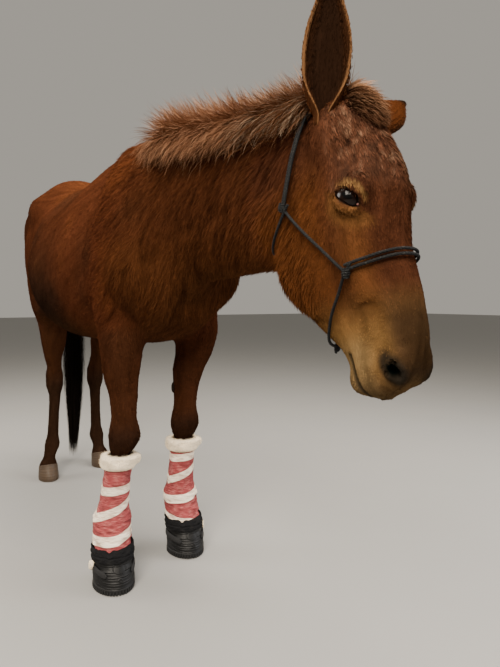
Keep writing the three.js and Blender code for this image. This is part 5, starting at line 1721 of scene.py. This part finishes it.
class MULE_OT_bandages(MuleOperator, bpy.types.Operator):
    """Winds the padding, the elastic wrap and the gaiter round each fore leg"""

    bl_idname = "mule.bandages"
    bl_label = "Bandages"

    def execute(self, context):
        tack = context.scene.mule_tack
        cotton = self.padding_material(np.array(tack.padding_colour))
        wrap, gaiter = self.wrap_material(np.array(tack.wrap_colour)), self.gaiter_material()
        for side in SIDES:
            name = f"fore_{side}"
            self.wrap(name, wrap)
            self.padding(name, cotton)
            self.gaiter(name, gaiter)
            self.cotton(name, SIDES[side], cotton)
        return {"FINISHED"}

    @staticmethod
    def rings(name, heights, offsets):
        """Rings about a leg at heights, so far off its surface: offsets has a row for each height."""
        rows, sides = offsets.shape
        angle = circle(sides)
        starts = np.repeat([[*leg_at(name, z), z] for z in heights], sides, axis=0)
        ways = np.tile(np.stack([np.cos(angle), np.sin(angle), 0 * angle], axis=1), (rows, 1))
        return (cast(legs[name][0], starts, ways) + ways * offsets.reshape(-1, 1)).reshape(rows, sides, 3)

    def sleeve(self, rings, thickness, material, slot, node, extra=None):
        """A sleeve from its outer rings and a thickness, closed over its two ends."""
        inside = rings - unit(rings - rings.mean(axis=1, keepdims=True)) * thickness
        points = np.concatenate([rings, inside[::-1]]).reshape(-1, 3)
        faces = tube_faces(2 * len(rings) + 1, rings.shape[1]) % len(points)
        piece = build(f"{node}_cloth", points, faces, material, extra=extra)
        recalculate(piece)
        self.finish(piece, slot, node)
        return piece

    def wrap(self, name, material):
        heights = np.linspace(104.6, 357.4, 130)
        high, around = grid(heights, 132)
        away = self.to_band(high - (0 if name == "fore_right" else 45), around)
        white = ease(16.5, 13.5, np.abs(away))
        slack = ease(225, 195, high) * ease(112, 135, high)
        creases = noise(drum(around, high + 10 * np.cos(around), 16.5), 7.5, 41)
        fine = noise(drum(around, high, 19.25), 3.2, 42)
        offsets = curves(SLEEVES["wrap"])(heights) - 3.2 + 1.3 * white + creases * (0.8 + 2.4 * slack) + 0.5 * fine
        offsets = offsets + 1.1 * ease(0, 3, away - 15) * ease(26, 18, away) + 3 * slack
        weave = np.stack([np.abs(away) / 100, creases, 0 * away], axis=-1)
        extra = {"weave": np.concatenate([weave, weave[::-1]]).reshape(-1, 3)}
        self.sleeve(self.rings(name, heights, offsets), 6.0, material, "bandage_wrap", f"wrap_{name}", extra)

    @staticmethod
    def to_band(high, around):
        """How far below or above the bandage's white edge each point is, as it winds down the leg."""
        turns = (around / (2 * np.pi) + 0.5) % 1
        stops = np.array(BAND)
        best = np.full(high.shape, 1e3)
        for n in range(-1, 4):
            away = high - np.interp(turns + n, stops[:, 0], stops[:, 1])
            best = np.where(np.abs(away) < np.abs(best), away, best)
        return best

    def padding(self, name, material):
        t = np.linspace(0, 1, 44)
        heights = 358.6 + 47 * t
        high, around = grid(heights, 150)
        section = np.sqrt(np.clip(1 - (2 * t - 1) ** 4, 0, 1))[:, None]
        puffs, fluff = noise(drum(around, high), 22, 51), noise(drum(around, high), 6, 52)
        twist = np.sin(3 * around + high * 0.12) * 1.2
        lump = 9 * np.exp(-((centred(around + 0.35) / 0.2) ** 2)) * ease(366, 380, high)
        offsets = 12.5 + (17 + 4.4 * puffs + twist + lump) * section + 1.2 * fluff
        rings = self.rings(name, heights, offsets)
        rings[..., 2] += 3.5 * puffs * ease(0, 0.5, t)[:, None]
        ring = self.sleeve(rings, 10.0, material, "bandage_padding", f"padding_{name}")
        self.fluff(ring, name)

    def fluff(self, ring, name):
        """Loose fibres that stand off the padding."""
        rng = np.random.default_rng(5)
        count = 3200
        p, n = sample(ring, count, lambda at, out: ease(-0.4, 0.1, out[:, 2]), rng)
        way = unit(n + rng.normal(0, 0.6, (count, 3)))
        bend = unit(rng.normal(0, 1, (count, 3)))
        tone = colour("f4e6cd") * rng.uniform(0.75, 1.0, (count, 1))
        length, width = rng.uniform(3, 8, count), rng.uniform(0.5, 1.2, count)
        hair = hair_material("cotton fibres")
        piece = tufts(f"fluff_{name}", hair, p, n, way, bend, length, width, tone, tone, rng, steps=3)
        self.finish(piece, "bandage_padding")

    def gaiter(self, name, material):
        t = np.linspace(0, 1, 40)
        heights = 88.6 + 39 * t
        high, around = grid(heights, 160)
        angle = around[0]
        lobes = 2.5 * np.sin(5 * angle) - 9 * np.exp(-((centred(angle + 2.0) / 0.13) ** 2)) - 3
        lobes = lobes + 2.2 * noise(np.stack([angle * 30, 0 * angle, 0 * angle], axis=-1), 7, 63)
        ring = drum(around, high * 1.5)
        folds = 2.4 * noise(ring, 14, 61) + 1.0 * noise(ring, 5, 62)
        seam = 2.0 * np.exp(-(((high - 104 - 3 * np.sin(around * 2)) / 2.2) ** 2))
        rings = self.rings(name, heights, curves(SLEEVES["gaiter"])(heights) - 2.2 + folds - seam)
        rings[..., 2] += (t[:, None] ** 2) * np.minimum(lobes, 0)
        self.sleeve(rings, 5.0, material, "gaiter", f"gaiter_{name}")

    def cotton(self, name, side, material):
        """A tuft of the padding that pokes out between the gaiter and the boot."""
        x, y = leg_at(name, 84)
        local, faces = sphere(bmesh.ops.create_icosphere, subdivisions=5)
        swell = 1 + 0.3 * noise(local * 10, 7, 71)[:, None] + 0.1 * noise(local * 10, 2.2, 72)[:, None]
        points = np.array([x + side * 68, y - 6, 76]) + local * swell * np.array([9, 11, 15])
        self.finish(build(f"cotton_{name}", points, faces, material), "bandage_padding")

    @staticmethod
    def wrap_material(red):
        s = Shader("elastic bandage", Roughness=0.92, Specular_IOR_Level=0.2)
        weave = s.attribute("weave", out="Vector")
        away, crease = (s.node("ShaderNodeSeparateXYZ", {}, weave, out=axis) for axis in "XY")
        ribs, crinkle = s.noise((120.0, 120.0, 1500.0)), s.noise((45.0, 45.0, 380.0), 4.0, 0.6)
        cloud = s.noise(55.0, 3.0)
        # The wrap's colour follows its relief: lighter where the crinkles rise, partly a painted highlight, and
        # darker in the creases' hollows, a painted shade
        shade = s.mix(red * 0.62, np.minimum(red * 1.3, 1), s.range(crinkle, 0.3, 0.7))
        shade = s.mix(shade, "d0938a", s.range(cloud * 0.4 + crinkle * 0.6, 0.48, 0.7, 0, 0.45))
        # Painted shade in the creases' hollows
        shade = s.mix(shade, red * 0.4, s.range(crease, -0.25, -0.8, 0, 0.6))
        pale = s.mix("c4ab98", "f7ead6", s.range(crinkle + crease * 0.2, 0.3, 0.6))
        shade = s.mix(shade, pale, s.range(away + cloud * 0.02 - 0.01, 0.145, 0.132))
        return s.feed((ribs * 0.25 + crinkle, 0.0022, 0.8), Base_Color=shade)

    @staticmethod
    def padding_material(white):
        s = Shader("cotton padding", Roughness=0.95, Specular_IOR_Level=0.2)
        fluff, cloud = s.noise(300.0, 5.0, 0.7), s.noise(45.0, 3.0)
        shade = s.mix(white * 0.78, white, s.range(fluff * 0.5 + cloud * 0.5, 0.3, 0.5))
        return s.feed((fluff + cloud, 0.004, 0.8), Base_Color=shade)

    @staticmethod
    def gaiter_material():
        s = Shader("gaiter cloth", Roughness=0.85, Specular_IOR_Level=0.1)
        knit, dust = s.noise((700.0, 700.0, 220.0)), s.noise(40.0, 3.0)
        shade = s.mix(s.mix("09090a", "1d1d1f", knit), "383634", s.range(dust, 0.55, 0.85, 0, 0.4))
        return s.feed((knit, 0.0012, 0.6), Base_Color=shade)


# A hoof boot: [height, half-width, front, back]
BOOT = [
    [0, 63, 86, 62], [5, 66, 91, 66], [16, 66, 90, 66], [19, 63, 87, 63], [22, 66, 90, 66],
    [42, 65, 86, 66], [62, 65, 80, 64], [88, 63, 68, 60],
]
# The boot's ridges: [height at the heel, rise at the toe, strength]
RIDGES = [(24, -2, 1.6), (32, 5, 1.5), (40, 12, 1.7), (47, 20, 1.4)]
# The sole's rings: [height, growth], and the strap's section: [place across it, height off the boot]
SOLE = [[0.3, -8], [1.2, -5.5], [5, -3.4], [14, -3.2], [16, -1.6], [18, -1.2], [20, -2.6], [22, -6]]
STRAP = [(-1, -0.6), (-0.96, 1.8), (-0.6, 2.6), (0, 2.8), (0.6, 2.6), (0.96, 1.8), (1, -0.6), (0, -1.4)]


class MULE_OT_boots(MuleOperator, bpy.types.Operator):
    """Makes the hoof boots: a ribbed sole, a moulded shell with curved ridges, a collar and a strap"""

    bl_idname = "mule.boots"
    bl_label = "Hoof boots"

    def execute(self, context):
        rubber = painted("boot rubber", "070708", 0.5, 500.0, 0.0005, 0.5, Specular_IOR_Level=0.3)
        sole = painted("boot sole", "121213", 0.65, 400.0, 0.0007, 0.5)
        cloth = painted("boot strap", "141416", 0.85, 900.0, 0.0006, 0.3)
        for name in map("fore_{}".format, SIDES):
            self.shell(name, rubber)
            self.sole(name, sole)
            self.strap(name, cloth)
        return {"FINISHED"}

    @staticmethod
    def shape(name, z, grow=0.0, sides=128):
        half, front, back = curves(BOOT)(z)
        return oval(*leg_at(name, z), z, half + grow, front + grow, back + grow, sides)

    def shell(self, name, material):
        """The moulded shell: ridges that sweep round the toe, a raised oval, a button and a collar."""
        heights, sides = np.linspace(17, 87.6, 110), 200
        high, around = grid(heights, sides)
        toe = ease(0.5, -0.95, np.sin(around))
        front = centred(around + np.pi / 2)
        lift = np.zeros_like(high)
        for start, rise, strength in RIDGES:
            edge = high - (start + 22 * (1 - toe) + rise * toe)
            ridge = np.exp(-((edge / 2.0) ** 2)) - 0.7 * np.exp(-(((edge + 3.4) / 1.6) ** 2))
            lift += strength * ridge * ease(2.6, 2.0, np.abs(front))
        plate = np.hypot(front * 62 / 19, (high - 72) / 10.5)
        lift = lift * ease(0.95, 1.25, plate) + 2.0 * ease(1.06, 0.98, plate)
        lift = lift - 0.9 * ease(0.1, 0.0, np.abs(plate - 1.14))
        button = np.hypot(front * 64 / 6.5, (high - 44) / 6.5)
        lift = lift * ease(0.95, 1.4, button) + 1.7 * ease(1.1, 0.9, button) - 0.8 * ease(0.6, 0.4, button)
        lift = lift + 1.6 * ease(79, 81.5, high)
        lift = lift + 0.5 * noise(np.stack([around * 60, high, 0 * high], axis=-1), 11, 81)
        rings = np.array([self.shape(name, z, -2.4, sides) for z in heights])
        rings = rings + unit(rings - rings.mean(axis=1, keepdims=True)) * lift[..., None]
        lining = [self.shape(name, z, -12.0, sides) for z in np.linspace(87.6, 40, 12)]
        piece = solid_tube(f"boot_{name}_shell", np.concatenate([rings, lining]), material)
        recalculate(piece)
        self.finish(piece, "boot", f"boot_{name}")

    def sole(self, name, material):
        """A thick sole with a welt, and lugs set round its edge by a node tree."""
        rings = [self.shape(name, z, grow) for z, grow in SOLE]
        self.finish(solid_tube(f"boot_{name}_sole", rings, material), "boot")
        edge = placed(self.shape(name, 8.0, -3.4, 160))
        lugs = lug_row(f"boot_{name}_lugs", edge, material, Count=46, Width=0.0052, Height=0.0125, Depth=0.0044)
        self.finish(lugs, "boot")

    def strap(self, name, material):
        """A cloth strap round the heels, which ends in a tab at each side of the toe."""
        tab = 0.62
        front = np.linspace(tab, 2 * np.pi - tab, 90)
        angle = front - np.pi / 2
        to_tab = np.minimum(front, 2 * np.pi - front)
        narrow = 8.5 * ease(tab, tab + 0.1, to_tab) + 0.4
        rows = []
        for across, out in STRAP:
            z = 70 - 13 * ease(1.6, 0.5, to_tab) + across * narrow
            x, y = leg_at(name, z).T
            half, fore, back = curves(BOOT)(z).T + out
            reach = np.where(np.sin(angle) < 0, fore, back)
            rows.append(np.stack([x + half * np.cos(angle), y + reach * np.sin(angle), z], axis=1))
        piece = solid_tube(f"boot_{name}_strap", np.array(rows).transpose(1, 0, 2), material)
        recalculate(piece)
        self.finish(piece, "boot")


# The halter: each length hugs the head round an angle seen from a point inside it, and reaches so
# far to each side: [centre, toward, reach in degrees, lift]
HALTER = {
    "crown_front": ([0, -178, 90], [0, 0.4, -0.92], 137, 7),
    "crown_rear": ([0, -186, 87], [0, 0.38, -0.93], 137, 7),
    "throat": ([0, -200, 170], [0, -0.8, 0.6], 96, 7),
    "nose_upper": ([0, -90, 322], [0, 1, -0.14], 84, 5),
    "nose_lower": ([0, -90, 331], [0, 1, -0.13], 84, 5),
    "jaw": ([0, -130, 382], [0, -0.7, 0.71], 136, 7.5),
}
# Places down the face and out of it
KNOTS = {"cheek": np.array([163, -213]), "side": np.array([336, -80])}


class MULE_OT_halter(MuleOperator, bpy.types.Operator):
    """Ties the rope halter round the head"""

    bl_idname = "mule.halter"
    bl_label = "Rope halter"

    def execute(self, context):
        radius = context.scene.mule_tack.rope_radius
        s = Shader("halter rope", Roughness=0.8, Specular_IOR_Level=0.2)
        fibres, flecks = s.noise(1500.0, 3.0, 0.6), s.noise(420.0, 1.0)
        shade = s.mix(s.mix("060607", "1f2021", fibres), "66665f", s.range(flecks, 0.64, 0.74, 0, 0.45))
        material = s.feed((fibres, 0.0006, 0.8), Base_Color=shade)
        for name, (centre, toward, reach, lift) in HALTER.items():
            path = self.girdle(centre, toward, np.linspace(-reach, reach, 44), lift)
            self.finish(rope(f"rope_{name}", path, radius, material), "halter_rope", f"halter_{name}")
        for label, side in SIDES.items():
            out = head_way(side, 0, 0)
            stops = [KNOTS["cheek"] + (KNOTS["side"] - KNOTS["cheek"]) * t for t in np.linspace(0, 1, 12)]
            path = [surface(in_head(0, v, down_face), out, 5.3) for down_face, v in stops]
            piece = rope(f"rope_cheek_{label}", np.array(path), radius, material)
            self.finish(piece, "halter_rope", f"halter_cheek_{label}")
            for kind, (down_face, v) in KNOTS.items():
                self.knot(f"{kind}_{label}", surface(in_head(0, v, down_face), out, 7.5), out, radius, material)
        centre, toward, _, _ = HALTER["jaw"]
        self.knot("chin", self.girdle(centre, toward, np.zeros(1), 10)[0], head_way(*toward), radius, material)
        return {"FINISHED"}

    @staticmethod
    def girdle(centre, toward, degrees, lift):
        across, toward = head_way(1, 0, 0), head_way(*toward)
        angle = np.radians(degrees)[:, None]
        ways = across * np.sin(angle) + toward * np.cos(angle)
        return cast(body, np.broadcast_to(in_head(*centre), ways.shape), ways) + ways * lift

    def knot(self, name, centre, out, radius, material):
        """A wrapped knot: coils of rope round a short axis that runs up the cheek."""
        along = head_way(0, 0.3, -1)
        side = unit(np.cross(along, out))
        t = np.linspace(0, 1, 90)
        turns = 4 * 2 * np.pi * t
        swell = 4.6 + 1.5 * np.sin(np.pi * t)
        coils = np.stack([-8 + 16 * t, swell * np.cos(turns), swell * np.sin(turns)], axis=1)
        path = in_frame(centre, coils, along, out, side)
        piece = rope(f"knot_{name}", path, radius * 0.8, material)
        self.finish(piece, "halter_knot", f"halter_knot_{name}")


# The camera: its focal length and how far the picture's middle lies off the horizon, in pixels of a
# picture so high, and its place and the way it looks over the floor
FOCAL, TILT, PICTURE_HEIGHT = 540, 32.5, 667
SEAT, LOOK = [-612, -2280, 900], (0.5, 0.8660254)
# The lights: place, target, size, share of the main light's power, colour
LAMPS = {
    "key": ((-1.9, -2.7, 3.5), (0, -0.4, 0.9), 2.4, 1, (1.0, 0.91, 0.78)),
    "top": ((0.5, 0.2, 4.0), (0, 0, 0.9), 3.0, 0.75, (1.0, 0.9, 0.77)),
    "fill": ((2.8, -1.6, 1.8), (0, 0, 0.9), 2.2, 0.2, (0.97, 0.97, 1.0)),
    "back": ((-2.6, 2.6, 2.8), (0, 0.2, 0.9), 2.0, 0.24, (1.0, 0.96, 0.9)),
}


class MULE_OT_stage(MuleOperator, bpy.types.Operator):
    """Sets the floor, the soft lights and the camera"""

    bl_idname = "mule.stage"
    bl_label = "Floor, lights and camera"

    def execute(self, context):
        scene = context.scene
        look = scene.mule_stage
        s = Shader("floor", Roughness=0.8)
        tone = np.array(look.floor_colour)
        s.feed(Base_Color=s.mix(tone * 0.97, tone * 1.02, s.noise(3.0, 4.0)))
        mesh = bpy.data.meshes.new("floor")
        corners = [(x, y, -0.001) for x, y in ((-30, -30), (30, -30), (30, 30), (-30, 30))]
        mesh.from_pydata(corners, [], [(0, 1, 2, 3)])
        mesh.materials.append(s.material)
        self.put("floor", mesh)
        scene.world = bpy.data.worlds.new("studio")
        scene.world.use_nodes = True
        air = scene.world.node_tree.nodes["Background"].inputs
        air["Color"].default_value = (0.93, 0.87, 0.77, 1)
        air["Strength"].default_value = 0.42
        for name, (place, target, size, share, tone) in LAMPS.items():
            lamp = bpy.data.lights.new(name, "AREA")
            lamp.size, lamp.energy, lamp.color = size, look.key_power * share, tone
            self.put(name, lamp, place, Vector(target) - Vector(place))
        camera = bpy.data.cameras.new("camera")
        camera.sensor_width = 36
        camera.lens = camera.sensor_width * FOCAL / PICTURE_HEIGHT
        camera.clip_end = 100
        pitch = math.atan(TILT / FOCAL)
        view = Vector((*(part * math.cos(pitch) for part in LOOK), -math.sin(pitch)))
        scene.camera = self.put("camera", camera, placed(SEAT), view)
        return {"FINISHED"}

    @staticmethod
    def put(name, data, place=(0, 0, 0), view=None):
        """A thing of the stage, turned to look along a view."""
        piece = bpy.data.objects.new(name, data)
        bpy.context.scene.collection.objects.link(piece)
        piece.location = place
        if view is not None:
            piece.rotation_euler = view.to_track_quat("-Z", "Y").to_euler()
        return piece


class MULE_PT_panel(bpy.types.Panel):
    """Lists the mule's pieces in the order they are built"""

    bl_idname = "MULE_PT_panel"
    bl_label = "Mule"
    bl_space_type = "VIEW_3D"
    bl_region_type = "UI"
    bl_category = "Mule"

    def draw(self, context):
        for settings in (context.scene.mule_coat, context.scene.mule_tack, context.scene.mule_stage):
            box = self.layout.box()
            for key in settings.__annotations__:
                box.prop(settings, key)
        for operator in STEPS:
            self.layout.operator(operator.bl_idname)


STEPS = [MULE_OT_skin, MULE_OT_coat, MULE_OT_mane, MULE_OT_tail, MULE_OT_ears, MULE_OT_eyes, MULE_OT_hooves]
STEPS += [MULE_OT_bandages, MULE_OT_boots, MULE_OT_halter, MULE_OT_stage]
GROUPS = {"mule_coat": MuleCoat, "mule_tack": MuleTack, "mule_stage": MuleStage}


def register():
    for cls in (*GROUPS.values(), *STEPS, MULE_PT_panel):
        bpy.utils.register_class(cls)
    for name, group in GROUPS.items():
        setattr(bpy.types.Scene, name, bpy.props.PointerProperty(type=group))


def unregister():
    for name in GROUPS:
        delattr(bpy.types.Scene, name)
    for cls in (MULE_PT_panel, *reversed(STEPS), *reversed(GROUPS.values())):
        bpy.utils.unregister_class(cls)


def main():
    register()
    for operator in STEPS:
        group, name = operator.bl_idname.split(".")
        getattr(getattr(bpy.ops, group), name)()


if __name__ == "__main__":
    main()
